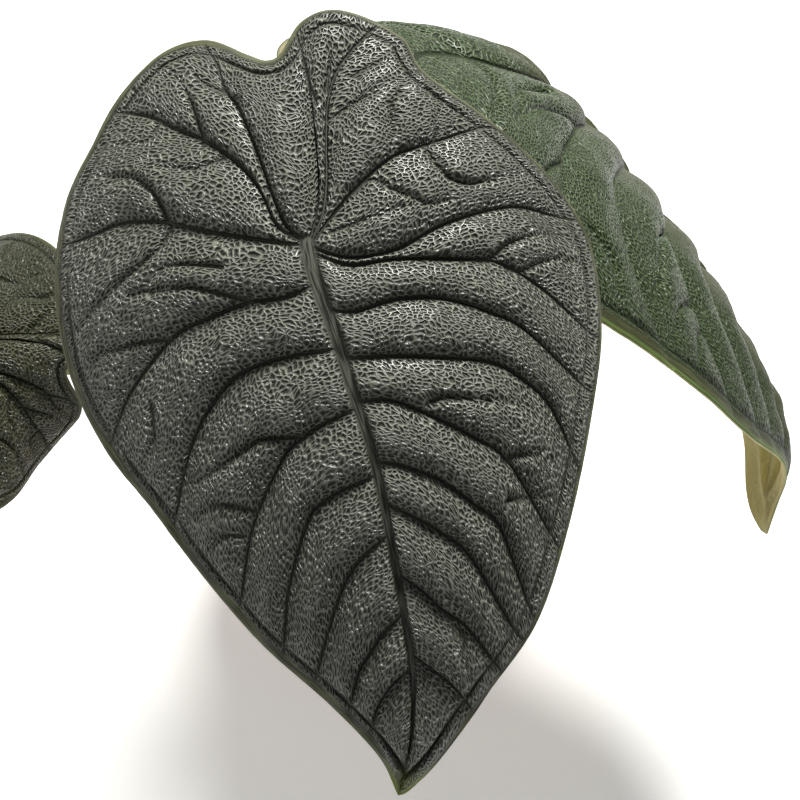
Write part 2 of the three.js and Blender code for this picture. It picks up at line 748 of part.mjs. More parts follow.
// Short ringed stem that carries the stalks.
function buildStem() {
  const profile = [[0, stemBottom], [stemBottomRadius, stemBottom], [stemRadius * 0.8, stemBottom + 4]];
  for (let i = 0; i <= stemScars; i += 1) {
    const z = lerp(stemBottom + 12, stemTop - 5, i / stemScars);
    const r = stemRadius * (0.88 + 0.12 * Math.sin(Math.PI * i / stemScars));
    profile.push([r + scarLip, z - 1.6], [r - scarGroove, z]);
  }
  profile.push([stemRadius * 0.86, stemTop - 1.6], [stemRadius * 0.7, stemTop], [0, stemTop + 0.6]);
  let stem = toSolid(turned(profile, stemSegments));
  Object.values(stalks).forEach((stalk) => {
    const { centre: start, tangent: axis } = stalk.line.at(0);
    const radius = stalkFootRadius + clearance;
    const length = socketDepth + 12 + clearance;
    const hole = new THREE.CylinderGeometry(radius, radius, length, 20);
    hole.translate(0, length / 2 - clearance, 0);
    hole.applyQuaternion(new THREE.Quaternion().setFromUnitVectors(new THREE.Vector3(0, 1, 0), axis));
    hole.translate(start.x, start.y, start.z);
    stem = stem.subtract(toSolid(hole));
  });
  return fromSolid(stem);
}

// Potting mix with a lumpy top and a plain hole for the stem.
function soilHeight(x, y) {
  const r = Math.hypot(x, y);
  const swell = soilSwell * Math.exp(-((r / soilSwellRadius) ** 2));
  const short = Math.sin(x * 0.31 + 1.3) * Math.cos(y * 0.27 - 0.6);
  const long = 0.6 * Math.sin(x * 0.13 - y * 0.21);
  return soilLevel + swell + soilRipple * (short + long);
}

function buildSoil() {
  const around = 40;
  const rings = [0.2, 0.4, 0.6, 0.78, 0.92, 1];
  const bottom = potFloor + clearance;
  const rimBottom = potHeight - potRimDepth;
  const wallAir = clearance / Math.cos(Math.PI / potSegments) + 0.15;
  const outer = (z) => potInnerRadius(z) - wallAir;
  const positions = [0, 0, soilHeight(0, 0)];
  rings.forEach((share) => {
    for (let j = 0; j < around; j += 1) {
      const angle = 2 * Math.PI * j / around;
      const x = outer(soilLevel) * share * Math.cos(angle);
      const y = outer(soilLevel) * share * Math.sin(angle);
      positions.push(x, y, share === 1 ? soilLevel : soilHeight(x, y));
    }
  });
  [rimBottom, bottom].forEach((z) => {
    for (let j = 0; j < around; j += 1) {
      const angle = 2 * Math.PI * j / around;
      positions.push(outer(z) * Math.cos(angle), outer(z) * Math.sin(angle), z);
    }
  });
  positions.push(0, 0, bottom);
  const index = [];
  const rowCount = rings.length + 2;
  const last = positions.length / 3 - 1;
  for (let j = 0; j < around; j += 1) {
    const next = (j + 1) % around;
    index.push(0, 1 + j, 1 + next);
    for (let i = 0; i < rowCount - 1; i += 1) {
      const a = 1 + i * around;
      const b = a + around;
      index.push(a + j, b + j, b + next, a + j, b + next, a + next);
    }
    const a = 1 + (rowCount - 1) * around;
    index.push(last, a + next, a + j);
  }
  let soil = toSolid(facedOut(positions, index));

  // bark chips and grit lying in the surface
  const random = seededRandom(417);
  const goldenAngle = Math.PI * (3 - Math.sqrt(5));
  for (let i = 0; i < soilLumps; i += 1) {
    const r = lerp(stemRadius + 4.5, outer(soilLevel) - 5.5, Math.sqrt((i + 0.5) / soilLumps));
    const angle = i * goldenAngle + random() * 0.5;
    const x = r * Math.cos(angle);
    const y = r * Math.sin(angle);
    const chip = new THREE.IcosahedronGeometry(1, 0);
    const long = lerp(...lumpLength, random());
    chip.scale(long, long * (0.5 + 0.35 * random()), lerp(...lumpHeight, random()));
    chip.rotateX((random() - 0.5) * 0.9);
    chip.rotateZ(random() * Math.PI * 2);
    chip.translate(x, y, soilHeight(x, y) + 0.3);
    soil = soil.add(toSolid(chip));
  }
  const holeRadius = stemRadius + scarLip + clearance;
  const hole = turned([
    [0, stemBottom - clearance],
    [stemBottomRadius + clearance, stemBottom - clearance],
    [holeRadius, stemBottom + 7],
    [holeRadius, stemTop + 20],
    [0, stemTop + 20],
  ], stemSegments);
  return fromSolid(soil.subtract(toSolid(hole)));
}

// Assembly.
const group = new THREE.Group();
group.name = 'potted_alocasia';

function addPiece(name, geometry, color, roughness) {
  geometry.computeVertexNormals();
  const mesh = new THREE.Mesh(geometry, new THREE.MeshStandardMaterial({ color, roughness }));
  mesh.name = name;
  group.add(mesh);
}

addPiece('pot', buildPot(), 0xb5704c, 0.85);
addPiece('soil', buildSoil(), 0x3a2c22, 0.95);
addPiece('stem', buildStem(), 0x6d5a3c, 0.8);
addPiece('stalk_front', buildStalk(stalks.front), 0x7f8d58, 0.55);
addPiece('stalk_right', buildStalk(stalks.right), 0x7f8d58, 0.55);
addPiece('stalk_left', buildStalk(stalks.left), 0x7f8d58, 0.55);
addPiece('leaf_front', buildBlade(leafFront), 0x4b4d47, 0.5);
addPiece('leaf_right', buildBlade(leafRight), 0x4d5f45, 0.5);
addPiece('leaf_left', buildBlade(leafLeft), 0x47483a, 0.5);

export default group;
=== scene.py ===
# Potted alocasia: fine quilted leaves, stalks, stem, clay pot and potting mix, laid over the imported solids.
# The leaf pattern is in millimetres, everything placed in the scene is in metres.
import math
import bmesh
import bpy
import numpy as np
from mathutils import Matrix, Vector, noise


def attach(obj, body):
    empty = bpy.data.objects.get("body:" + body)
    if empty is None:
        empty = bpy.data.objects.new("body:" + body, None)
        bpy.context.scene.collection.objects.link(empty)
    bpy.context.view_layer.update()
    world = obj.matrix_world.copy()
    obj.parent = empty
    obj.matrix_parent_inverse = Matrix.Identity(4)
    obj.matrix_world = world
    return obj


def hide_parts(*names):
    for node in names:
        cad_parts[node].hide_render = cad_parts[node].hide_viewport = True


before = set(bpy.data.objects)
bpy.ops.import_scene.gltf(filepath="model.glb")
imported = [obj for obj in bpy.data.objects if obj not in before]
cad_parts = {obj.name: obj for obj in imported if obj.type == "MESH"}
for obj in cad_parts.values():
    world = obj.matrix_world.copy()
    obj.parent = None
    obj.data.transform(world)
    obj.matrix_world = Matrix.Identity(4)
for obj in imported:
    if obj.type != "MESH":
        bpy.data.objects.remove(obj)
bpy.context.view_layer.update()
scene = bpy.context.scene
mm = 0.001
print("frame loaded")


# Small helpers.
def toLinear(hexColour):
    channels = [int(hexColour[i:i + 2], 16) / 255 for i in (1, 3, 5)]
    linear = [c / 12.92 if c <= 0.04045 else ((c + 0.055) / 1.055) ** 2.4 for c in channels]
    return (*linear, 1.0)


# links the inputs of a node; a source that is a node stands for its first output in use
def feed(node, sources):
    for name, source in sources.items():
        if isinstance(source, bpy.types.Node):
            source = next(output for output in source.outputs if output.enabled)
        node.id_data.links.new(source, node.inputs[name])


def addNode(tree, kind, settings=None, sources=None):
    node = tree.nodes.new(kind if "Node" in kind else "ShaderNode" + kind)
    for name, value in (settings or {}).items():
        if isinstance(name, int) or name in node.inputs:
            node.inputs[name].default_value = value
        else:
            setattr(node, name, value)
    feed(node, sources or {})
    return node


def newMaterial(name, settings):
    material = bpy.data.materials.new(name)
    material.use_nodes = True
    tree = material.node_tree
    tree.nodes.clear()
    surface = addNode(tree, "BsdfPrincipled", settings)
    addNode(tree, "OutputMaterial", sources={"Surface": surface})
    return material, tree, surface


# scale of a pattern whose features are this many millimetres across
def scaleFor(size):
    return 1000 / size


# lays colours over a ground one after another, each as strongly as its share says
def painted(tree, ground, layers):
    for share, colour in layers:
        layer = addNode(tree, "Mix", {"data_type": "RGBA", 7: toLinear(colour)}, {0: share})
        if isinstance(ground, str):
            layer.inputs[6].default_value = toLinear(ground)
        else:
            feed(layer, {6: ground})
        ground = layer
    return ground


# an empty Geometry Nodes tree with named inputs, and the sockets that give them
def newTree(name, inputs):
    tree = bpy.data.node_groups.new(name, "GeometryNodeTree")
    for socket, kind in inputs.items():
        tree.interface.new_socket(socket, in_out="INPUT", socket_type="NodeSocket" + kind)
    tree.interface.new_socket("Geometry", in_out="OUTPUT", socket_type="NodeSocketGeometry")
    return tree, addNode(tree, "NodeGroupInput").outputs


def newObject(name, data):
    thing = bpy.data.objects.new(name, data)
    scene.collection.objects.link(thing)
    return thing


# keeps the plain mesh that a piece's modifiers give, and drops the modifiers
def settle(piece):
    view = bpy.context.evaluated_depsgraph_get()
    mesh = bpy.data.meshes.new_from_object(piece.evaluated_get(view), depsgraph=view)
    piece.modifiers.clear()
    old = piece.data
    piece.data = mesh
    bpy.data.meshes.remove(old)
    mesh.name = piece.name


def blendBetween(low, high, x):
    t = np.clip((x - low) / (high - low), 0, 1)
    return t * t * (3 - 2 * t)


def lerp(a, b, t):
    return a + (b - a) * t


# smooth value of a profile of [place, value] pairs, held constant beyond its ends
def smoothAt(profile, x):
    px, py = np.array(profile, float).T
    if len(px) == 2:
        slopes = np.full(2, (py[1] - py[0]) / (px[1] - px[0]))
    else:
        step = np.diff(px)
        slope = np.diff(py) / step
        inner = (slope[:-1] * step[1:] + slope[1:] * step[:-1]) / (step[:-1] + step[1:])
        slopes = np.r_[slope[0], inner, slope[-1]]
    x = np.clip(x, px[0], px[-1])
    i = np.clip(np.searchsorted(px, x, side="right") - 1, 0, len(px) - 2)
    h = px[i + 1] - px[i]
    t = (x - px[i]) / h
    first = (2 * t ** 3 - 3 * t ** 2 + 1) * py[i] + (t ** 3 - 2 * t ** 2 + t) * h * slopes[i]
    return first + (3 * t ** 2 - 2 * t ** 3) * py[i + 1] + (t ** 3 - t ** 2) * h * slopes[i + 1]


# a flat line, rounded through its points, measured along its length
class FlatPath:
    def __init__(self, points, smooth=True, steps=24):
        self.points = self.rounded(points, steps) if smooth else np.array(points, float)
        self.along = np.r_[0, np.cumsum(np.hypot(*np.diff(self.points, axis=0).T))]
        self.length = self.along[-1]

    @staticmethod
    def rounded(points, steps):
        p = np.array(points, float)
        p = np.vstack([2 * p[0] - p[1], p, 2 * p[-1] - p[-2]])
        t = (np.arange(steps) / steps)[:, None]
        out = []
        for p0, p1, p2, p3 in zip(p[:-3], p[1:-2], p[2:-1], p[3:]):
            square = (2 * p0 - 5 * p1 + 4 * p2 - p3) * t ** 2
            cube = (3 * p1 - p0 - 3 * p2 + p3) * t ** 3
            out.append(0.5 * (2 * p1 + (p2 - p0) * t + square + cube))
        return np.vstack(out + [p[-2:-1]])

    def at(self, distance):
        return np.stack([np.interp(distance, self.along, self.points[:, c]) for c in (0, 1)], -1)

    def nearest(self, point):
        return self.along[np.argmin(np.hypot(*(self.points - point).T))]

    # distance of each place to the line, and how far along it the nearest point lies, from 0 to 1
    def reach(self, places, limit):
        distance = np.full(len(places), limit, float)
        share = np.zeros(len(places))
        low = self.points.min(0) - limit
        high = self.points.max(0) + limit
        near = np.flatnonzero(((places > low) & (places < high)).all(1))
        close = places[near]
        for i in range(len(self.points) - 1):
            a = self.points[i]
            ab = self.points[i + 1] - a
            size = max(ab @ ab, 1e-9)
            t = np.clip((close - a) @ ab / size, 0, 1)
            d = np.hypot(*(close - a - t[:, None] * ab).T)
            better = d < distance[near]
            distance[near[better]] = d[better]
            share[near[better]] = (self.along[i] + t[better] * math.sqrt(size)) / self.length
        return distance, share


# Flat pattern of a blade in millimetres, stalk joint at 0,0 and the tip towards +y.
midribLine = [
    (0, 0), (1.5, 7.5), (4, 15), (8, 26), (11.5, 37.5), (15.5, 49.5), (18, 58.5), (20.5, 70),
    (22.5, 81), (24.5, 92), (26.5, 103.5), (28, 115.5), (28, 124.5), (27, 136), (24.5, 150.5),
]
tipStart = (26.1, 142)
tipPoint = (24, 152.5)
marginLine = [
    tipPoint, (18.5, 140), (5, 125.5), (-13.5, 110), (-30, 92), (-45.5, 73), (-60.5, 55.5), (-71.5, 32.5),
    (-75, 6.5), (-72, -18), (-64, -34.5), (-55.5, -49), (-43.5, -60), (-30, -62), (-17.5, -55.5),
    (-12, -53), (-8, -55), (-2.5, -64.5), (8, -68.5), (25, -62.5), (32, -52), (54, -38), (71.5, -23),
    (82.5, -5), (84, 20), (78, 50), (70, 80.5), (61.5, 103.5), (47.5, 123), (34, 143), (27, 151), tipPoint,
]
# main veins from the tip up the left side, over both lobes and down the right side
mainVeins = [
    [(27.5, 113.5), (23, 117.5), (20, 122), (18, 126.5), (17, 131.5)],
    [(24.5, 99), (20, 103.5), (17, 108.5), (13.5, 115), (10.5, 126.5)],
    [(19, 78), (14.5, 83), (10, 90), (5, 105), (1, 120)],
    [(16.5, 62), (10.5, 64.5), (4, 68.5), (0, 74), (-5.5, 93), (-7.5, 112)],
    [(13.5, 43.5), (5, 47.5), (-2, 52), (-7, 58), (-15.5, 77), (-19.5, 98.5)],
    [(7, 28.5), (-2, 29.5), (-14, 32.5), (-22.5, 38), (-32.5, 54), (-39, 78)],
    [(1.5, 12), (-6, 14.5), (-15.5, 15.5), (-26, 19), (-37, 24), (-50.5, 39), (-58, 53.5)],
    [(-1, 0.5), (-14, -1.5), (-28, -4.5), (-40, -8), (-52, -9), (-60.5, -7), (-69, -5)],
    [(-1.5, -0.5), (-8, -5), (-13, -15.5), (-19, -23), (-28, -30), (-38, -35.5), (-45.5, -40), (-58, -44)],
    [(-1, -1), (-5.5, -5), (-9.5, -14), (-14, -26.5), (-19.5, -39.5), (-23.5, -45), (-26, -53), (-30, -60)],
    [(1.2, -1.8), (2.6, -8.5), (3, -17.5), (2.2, -28.5), (1, -39), (-0.5, -47.5), (-2.5, -55.5), (-4, -60.5)],
    [(2, -1.5), (4.2, -8.5), (5, -17.5), (4.8, -28.5), (5, -39), (7, -48), (11.5, -56), (18.5, -65)],
    [(3, -1), (8.5, -10), (13, -15.5), (22.5, -25), (34, -30.5), (49.5, -37.5), (56, -36)],
    [(3.5, 1), (11.5, 3.8), (23.5, 1), (35, -6), (46, -11), (58, -14.5), (69, -13.5), (76, -13)],
    [(3, 3), (11.5, 5.8), (23.5, 3.6), (40, 2.5), (52, 2.5), (63.5, 8), (73, 15.5), (80.5, 22)],
    [(6, 18), (13.5, 18), (24.5, 14.5), (37, 14), (50.5, 17.5), (60, 22), (77, 37.5)],
    [(11, 30.5), (19.5, 30), (32.5, 30), (49.5, 31), (59, 36), (66.5, 43.5), (74, 60)],
    [(14, 41.5), (22, 41.5), (32.5, 45.5), (44.5, 51.5), (54, 58.5), (67.5, 81.5)],
    [(18.5, 57.5), (24.5, 58.5), (35, 62.5), (44, 69), (51.5, 76), (60, 99.5)],
    [(21.5, 68.5), (27, 71.5), (35.5, 76.5), (43.5, 83.5), (56, 105)],
    [(24, 87.5), (30, 91.5), (35.5, 97), (42.5, 102.5), (51.5, 115)],
    [(28, 109.5), (33, 113.5), (38.5, 118.5), (44.5, 127)],
]
# side veins that split the pillows, each with the share of the pillow's height that its groove takes
sideVeins = [
    (0.7, [(-23, -44), (-29.5, -47.5), (-34, -53), (-39, -58)]),
    (0.75, [(-28.5, -30), (-31.5, -38.5), (-33, -42.5), (-37, -49.5), (-42, -53), (-45, -56.5)]),
    (0.7, [(-42.5, -38), (-44.5, -33.5), (-47, -32), (-56.5, -33)]),
    (0.6, [(-23, -24.5), (-30, -22), (-34.5, -22), (-42, -24)]),
    (0.75, [(-38, -8), (-42, -15.5), (-45.5, -19), (-49.5, -21.5), (-61.5, -23.5)]),
    (0.85, [(-37, -7), (-40, -1.5), (-45.5, 3.5), (-52.5, 8.5), (-60, 14.5), (-67.5, 22)]),
    (0.6, [(-22.5, 6), (-31, 5), (-38, 5), (-41.5, 7.5), (-44, 10.5)]),
    (0.7, [(-15.5, 15), (-22.5, 13), (-31, 11), (-39.5, 11), (-48.5, 12)]),
    (0.75, [(-38, 24.5), (-46, 25), (-52.5, 26.5), (-58, 27.5), (-62.5, 31), (-65, 33.5)]),
    (0.6, [(-43.5, 42.5), (-43, 52.5), (-47, 60)]),
    (0.55, [(-55.5, 47), (-55, 53), (-52, 57)]),
    (0.9, [
        (-1, 51), (-7.5, 51.5), (-12.5, 52), (-17, 55), (-22, 58.5), (-26, 61), (-30.5, 63.5), (-33.5, 65),
    ]),
    (0.7, [(-14, 71.5), (-20.5, 70), (-26, 70.5), (-31, 73.5), (-37, 75.5)]),
    (0.55, [(-17.5, 78.5), (-22.5, 78.5), (-26.5, 82), (-29.5, 86.5)]),
    (0.6, [(2, -39), (0.5, -43), (-2, -51), (-3, -56.5)]),
    (0.6, [(4.5, -42), (5.5, -52.5), (6, -59), (5.5, -65)]),
    (0.8, [(5, -34), (11, -38.5), (18, -43.5), (23.5, -47.5)]),
    (0.6, [(11.5, -47.5), (14, -49.5), (20.5, -54), (25, -57.5)]),
    (0.7, [(22, -39), (22.5, -41), (25, -44.5), (28.5, -49.5)]),
    (0.6, [(22, -39), (22.5, -30), (23, -26.5)]),
    (0.65, [(34, -30.5), (35, -36), (35.5, -40.5)]),
    (0.85, [(31.5, -29.5), (35, -23.5), (37.5, -20.5), (41.5, -19), (46, -19.5), (56, -23), (61, -25)]),
    (0.75, [(12, -13.5), (17, -18), (22, -15.5), (26, -14), (30.5, -12), (33, -12), (37.5, -13.5)]),
    (0.5, [(6, -2.5), (12.5, -5), (20.5, -8.5), (27.5, -11)]),
    (0.8, [(46, 2.5), (50, 1.5), (54, -2), (57.5, -4), (62, -6), (67, -7), (76, -6.5)]),
    (0.75, [(55, 4.5), (59.5, 4.5), (63, 2.5), (67, 1), (71.5, 0), (78, 1)]),
    (0.8, [(32.5, 42), (36.5, 41), (43.5, 41.5), (50.5, 42), (56, 43), (60.5, 45)]),
    (0.75, [(52, 58), (56.5, 56.5), (62.5, 56.5), (66.5, 58)]),
    (0.65, [(53, 68.5), (60, 68), (64, 68), (67, 69)]),
    (0.55, [(40, 102), (41.5, 106), (41, 111), (43.5, 116)]),
]

# How thick and how deeply quilted the living blade is.
blade = {
    "columnStep": 0.87,         # spacing of the net along the margin
    "rows": 104,                # steps from the midrib to the margin
    "crowding": 0.45,           # how much closer the columns stand beside a vein
    "stripShares": [0.7, 0.35],  # steps across the midrib, as shares of its half width
    "centreSteps": 120,
    "thickness": 0.9,
    "rimThickness": 0.75,
    "pillowHeight": 4.0,
    "pillowRoundness": 0.85,    # lower is flatter on top, with steeper walls
    "pillowWidthScale": 8.0,
    "veinFloor": [0.75, 0.1],   # half width of a main vein's flat floor, at the midrib and further out
    "floorFade": 0.13,          # share of the way to the margin over which it narrows
    "lopsided": 0.76,           # below 1 the pillows are steeper on the side nearer the tip
    "swell": (0.16, 7),         # share of a pillow's height by which it varies, and over how far
    "dimple": (0.1, 3.1),       # height of small dents and how wide they are
    "sideVeinWidth": 1.15,
    "edgeVein": 4.6,            # distance of the vein that follows the margin
    "edgeVeinWidth": 0.8,
    "edgeVeinDepth": 0.85,
    "bandNarrow": 1.2,          # width of the smooth band inside the margin
    "bandBroad": [2.0, 3.4],
    "underRib": 0.8,            # how far the main veins stand out below
    "midribHalfWidth": [(0, 1.9), (40, 1.2), (110, 0.7), (142, 0)],
    "midribKeel": [(0, 3.0), (30, 2.6), (90, 1.7), (142, 0.9)],
    "foldSoftness": 6.0,
    "bendReach": 50.0,
}


# outline of the midrib: down its left edge, round the stalk joint and up its right edge
def midribEdge():
    steps = 180
    y = lerp(tipStart[1], 0, np.arange(steps + 1) / steps)
    half = np.interp(y, *np.array(blade["midribHalfWidth"], float).T)
    left = np.c_[midribX(y) - half, y]
    right = np.c_[midribX(y) + half, y][::-1]
    hubStep = 3                 # degrees
    angle = np.radians(180 + hubStep * np.arange(1, 180 // hubStep))
    hub = blade["midribHalfWidth"][0][1] * np.c_[np.cos(angle), np.sin(angle)]
    return FlatPath(np.vstack([left, hub, right]), False)


midribPath = FlatPath(midribLine)
marginPath = FlatPath(marginLine)


def midribX(y):
    return np.interp(y, midribPath.points[:, 1], midribPath.points[:, 0])


midribEdgePath = midribEdge()


def veinColumn(vein):
    root = midribEdgePath.nearest(vein[0])
    end = marginPath.nearest(vein[-1])
    line = [midribEdgePath.at(root), *vein[1:], marginPath.at(end)]
    return {"root": root, "end": end, "path": FlatPath(line)}


tipColumn = FlatPath([tipStart, tipPoint], False)
veinColumns = [
    {"root": 0, "end": 0, "path": tipColumn},
    *[veinColumn(vein) for vein in mainVeins],
    {"root": midribEdgePath.length, "end": marginPath.length, "path": tipColumn},
]


# The flat net: columns follow the veins from the tip round the lobes and back, rows run out to the margin.
def flatNet():
    q = np.linspace(0, 1, blade["rows"] + 1)
    columns = []
    laneGap = 40                # keeps the cells of one pillow apart from the next one's
    halfWay = len(veinColumns) // 2
    for lane, (a, b) in enumerate(zip(veinColumns[:-1], veinColumns[1:])):
        count = 2 * max(4, round((b["end"] - a["end"]) / blade["columnStep"] / 2))
        t = np.arange(count) / count
        f = t - blade["crowding"] * np.sin(2 * np.pi * t) / (2 * np.pi)
        pa = a["path"].at(q * a["path"].length)
        pb = b["path"].at(q * b["path"].length)
        width = np.hypot(*(pa - pb).T)
        root = midribEdgePath.at(lerp(a["root"], b["root"], f))
        end = marginPath.at(lerp(a["end"], b["end"], f))
        fc = f[:, None, None]
        qc = q[None, :, None]
        point = lerp(pa[None], pb[None], fc)
        point = point + (1 - qc) * (root[:, None] - lerp(pa[0], pb[0], f[:, None])[:, None])
        point = point + qc * (end[:, None] - lerp(pa[-1], pb[-1], f[:, None])[:, None])
        along = q[None] * lerp(a["path"].length, b["path"].length, f)[:, None]
        across = (f[:, None] - 0.5) * width[None] + lane * laneGap
        fromTip = f if lane < halfWay else 1 - f
        leaning = fromTip ** blade["lopsided"]
        closing = across.copy()
        if columns:
            closing[0] = 0.5 * columns[-1]["width"][0] + (lane - 1) * laneGap
        columns.append({
            "f": f, "point": point, "width": np.repeat(width[None], count, 0),
            "cellAlong": along, "cellAcross": across, "cellClosing": closing,
            "leaning": np.minimum(leaning, 1 - leaning),
        })
    return q, {key: np.concatenate([c[key] for c in columns]) for key in columns[0]}


# Lays the net's columns side by side, works out the quilting, and gives each vertex what the material reads.
def quiltedNet():
    q, net = flatNet()
    f = net["f"]
    flat = net["point"]
    count, rows = flat.shape[:2]

    # strip between the midrib's edge and its centre line
    root = flat[:, 0]
    centre = np.c_[midribX(np.maximum(root[:, 1], 0)), np.maximum(root[:, 1], 0)]
    strip = [lerp(centre, root, 1 - share)[:, None] for share in blade["stripShares"]]
    flat = np.concatenate([*strip, flat], 1)
    shares = np.array([*blade["stripShares"], *np.zeros(rows)])
    q = np.r_[np.zeros(len(strip)), q]
    for key in ("width", "cellAlong", "cellAcross", "cellClosing"):
        extra = np.repeat(net[key][:, :1], len(strip), 1)
        net[key] = np.concatenate([extra, net[key]], 1)
    width = net["width"]
    rows = len(q)

    places = flat.reshape(-1, 2)
    beside = np.minimum(f, 1 - f)[:, None] * width
    half = np.maximum(width / 2, 0.05)
    fromMidrib = np.exp(-q / blade["floorFade"])
    floorHalf = np.minimum(lerp(*blade["veinFloor"][::-1], fromMidrib)[None], half * 0.9)
    humped = net["leaning"][:, None] * width
    fromFloor = np.clip((humped - floorHalf) / (half - floorHalf), 0, 1)
    across = np.sin(np.pi / 2 * fromFloor) ** blade["pillowRoundness"]
    along = np.clip(np.sin(np.pi * q ** 0.6), 0, 1) ** 0.45
    size = 1 - np.exp(-width / blade["pillowWidthScale"])
    pillow = blade["pillowHeight"] * size * across * along[None]

    margin, _ = marginPath.reach(places, 14)
    margin = margin.reshape(count, rows)
    edgeGroove = np.exp(-np.abs((margin - blade["edgeVein"]) / blade["edgeVeinWidth"]) ** 2)
    pillow = pillow * (1 - blade["edgeVeinDepth"] * edgeGroove) * np.clip(margin / 9, 0, 1) ** 0.5

    side = np.full(places.shape[0], 6.0)
    groove = np.zeros(places.shape[0])
    for depth, points in sideVeins:
        distance, share = FlatPath(points, steps=6).reach(places, 6)
        taper = depth * (1 - 0.55 * share) * blendBetween(6, 4, distance)
        here = taper * np.exp(-(distance / blade["sideVeinWidth"]) ** 1.5)
        groove = np.maximum(groove, here)
        side = np.minimum(side, distance + 1.2 * share ** 2)
    groove = groove.reshape(count, rows)
    side = np.minimum(side.reshape(count, rows), np.abs(margin - blade["edgeVein"]) + 0.12)

    swell, dimple = [
        np.array([noise.noise(Vector((x / wave, y / wave, layer))) for x, y in places]).reshape(count, rows)
        for wave, layer in ((blade["swell"][1], 0.3), (blade["dimple"][1], 5.1))
    ]
    relief = pillow * (1 - groove) * (1 + blade["swell"][0] * swell)
    relief = relief + blade["dimple"][0] * dimple * blendBetween(0.3, 2.5, beside)

    # the midrib is a slightly raised flat ribbon with a fine line along its centre
    ribbon = shares[None] * np.ones((count, 1))
    relief = np.where(ribbon > 0, -0.25 + 0.3 * ribbon, relief)

    # smooth band inside the margin, broad beside the tip on one side and narrow on the other
    x, y = flat[..., 0], flat[..., 1]
    oneSide = blendBetween(0, -12, x - midribX(np.clip(y, 0, tipStart[1])))
    bandWidth = lerp(blade["bandNarrow"], lerp(*blade["bandBroad"], blendBetween(-30, 60, y)), oneSide)
    inBand = margin / bandWidth

    # where the veinlets stand up: not on vein floors, the midrib or the very rim
    mask = blendBetween(0.15, 0.6, beside) * blendBetween(0.0, 0.5, net["cellAlong"])
    mask = mask * blendBetween(0.75, 1.25, inBand) * blendBetween(0.1, 0.8, side) * (ribbon == 0)
    return {
        **net, "flat": flat, "relief": relief, "q": np.repeat(q[None], count, 0), "beside": beside,
        "margin": margin, "inBand": inBand, "side": side, "ribbon": ribbon, "mask": mask, "isKey": f == 0,
        "stripRows": len(strip),
    }


# A blade bent out of its flat pattern: midrib line with pitch, heading and roll, each half folded and bent.
class HangingBlade:
    spineRange = (-90, 190)

    def __init__(self, shape):
        self.shape = shape
        y = np.arange(self.spineRange[0], self.spineRange[1] + 1.0)
        pitch = np.radians(smoothAt(shape["pitch"], y))
        heading = np.radians(smoothAt(shape["heading"], y))
        roll = np.radians(smoothAt(shape["roll"], y))[:, None]
        flatTurn = np.cos(pitch)
        tangent = np.c_[flatTurn * np.cos(heading), flatTurn * np.sin(heading), -np.sin(pitch)]
        level = np.c_[-np.sin(heading), np.cos(heading), 0 * y]
        upright = np.cross(tangent, level)
        self.side = level * np.cos(roll) + upright * np.sin(roll)
        self.normal = upright * np.cos(roll) - level * np.sin(roll)
        spine = np.vstack([np.zeros(3), np.cumsum((tangent[1:] + tangent[:-1]) / 2, 0)])
        self.spine = spine - spine[-self.spineRange[0]]

    def at(self, x, y):
        shape = self.shape
        place = np.clip(y - self.spineRange[0], 0, len(self.spine) - 1.001)
        i = place.astype(int)
        t = (place - i)[:, None]
        hand = -1 if shape["mirrored"] else 1
        middle = midribX(np.clip(y, 0, midribLine[-1][1]))
        w = (x - middle) * hand
        reach = np.abs(w)
        high = w > 0
        fold = np.where(high, smoothAt(shape["foldHigh"], y), smoothAt(shape["foldLow"], y))
        bend = np.where(high, smoothAt(shape["bendHigh"], y), smoothAt(shape["bendLow"], y))
        angle = np.radians(fold) * reach / (reach + blade["foldSoftness"])
        angle = angle + np.radians(bend) * reach / blade["bendReach"]
        out = (np.sign(w) * reach * np.cos(angle) + middle * hand)[:, None]
        drop = (-reach * np.sin(angle))[:, None]
        spine = lerp(self.spine[i], self.spine[i + 1], t)
        side = lerp(self.side[i], self.side[i + 1], t)
        normal = lerp(self.normal[i], self.normal[i + 1], t)
        return np.array(shape["joint"]) + shape["scale"] * (spine + side * out + normal * drop)

    def normalAt(self, x, y):
        e = 0.4
        dx = self.at(x + e, y) - self.at(x - e, y)
        dy = self.at(x, y + e) - self.at(x, y - e)
        n = np.cross(dx, dy) if self.shape["mirrored"] else np.cross(dy, dx)
        return n / np.linalg.norm(n, axis=1)[:, None]


# joins the inner ends of the columns to the centre line, down one side of the midrib
def stitched(edge, edgeY, centre, centreY, flip):
    faces = []
    i = j = 0
    while i < len(edge) - 1 or j < len(centre) - 1:
        edgeNext = edgeY[i + 1] if i < len(edge) - 1 else -1e9
        centreNext = centreY[j + 1] if j < len(centre) - 1 else -1e9
        if edgeNext >= centreNext:
            face = (edge[i], centre[j], edge[i + 1])
            i += 1
        else:
            face = (edge[i], centre[j], centre[j + 1])
            j += 1
        faces.append(face[::-1] if flip else face)
    return faces


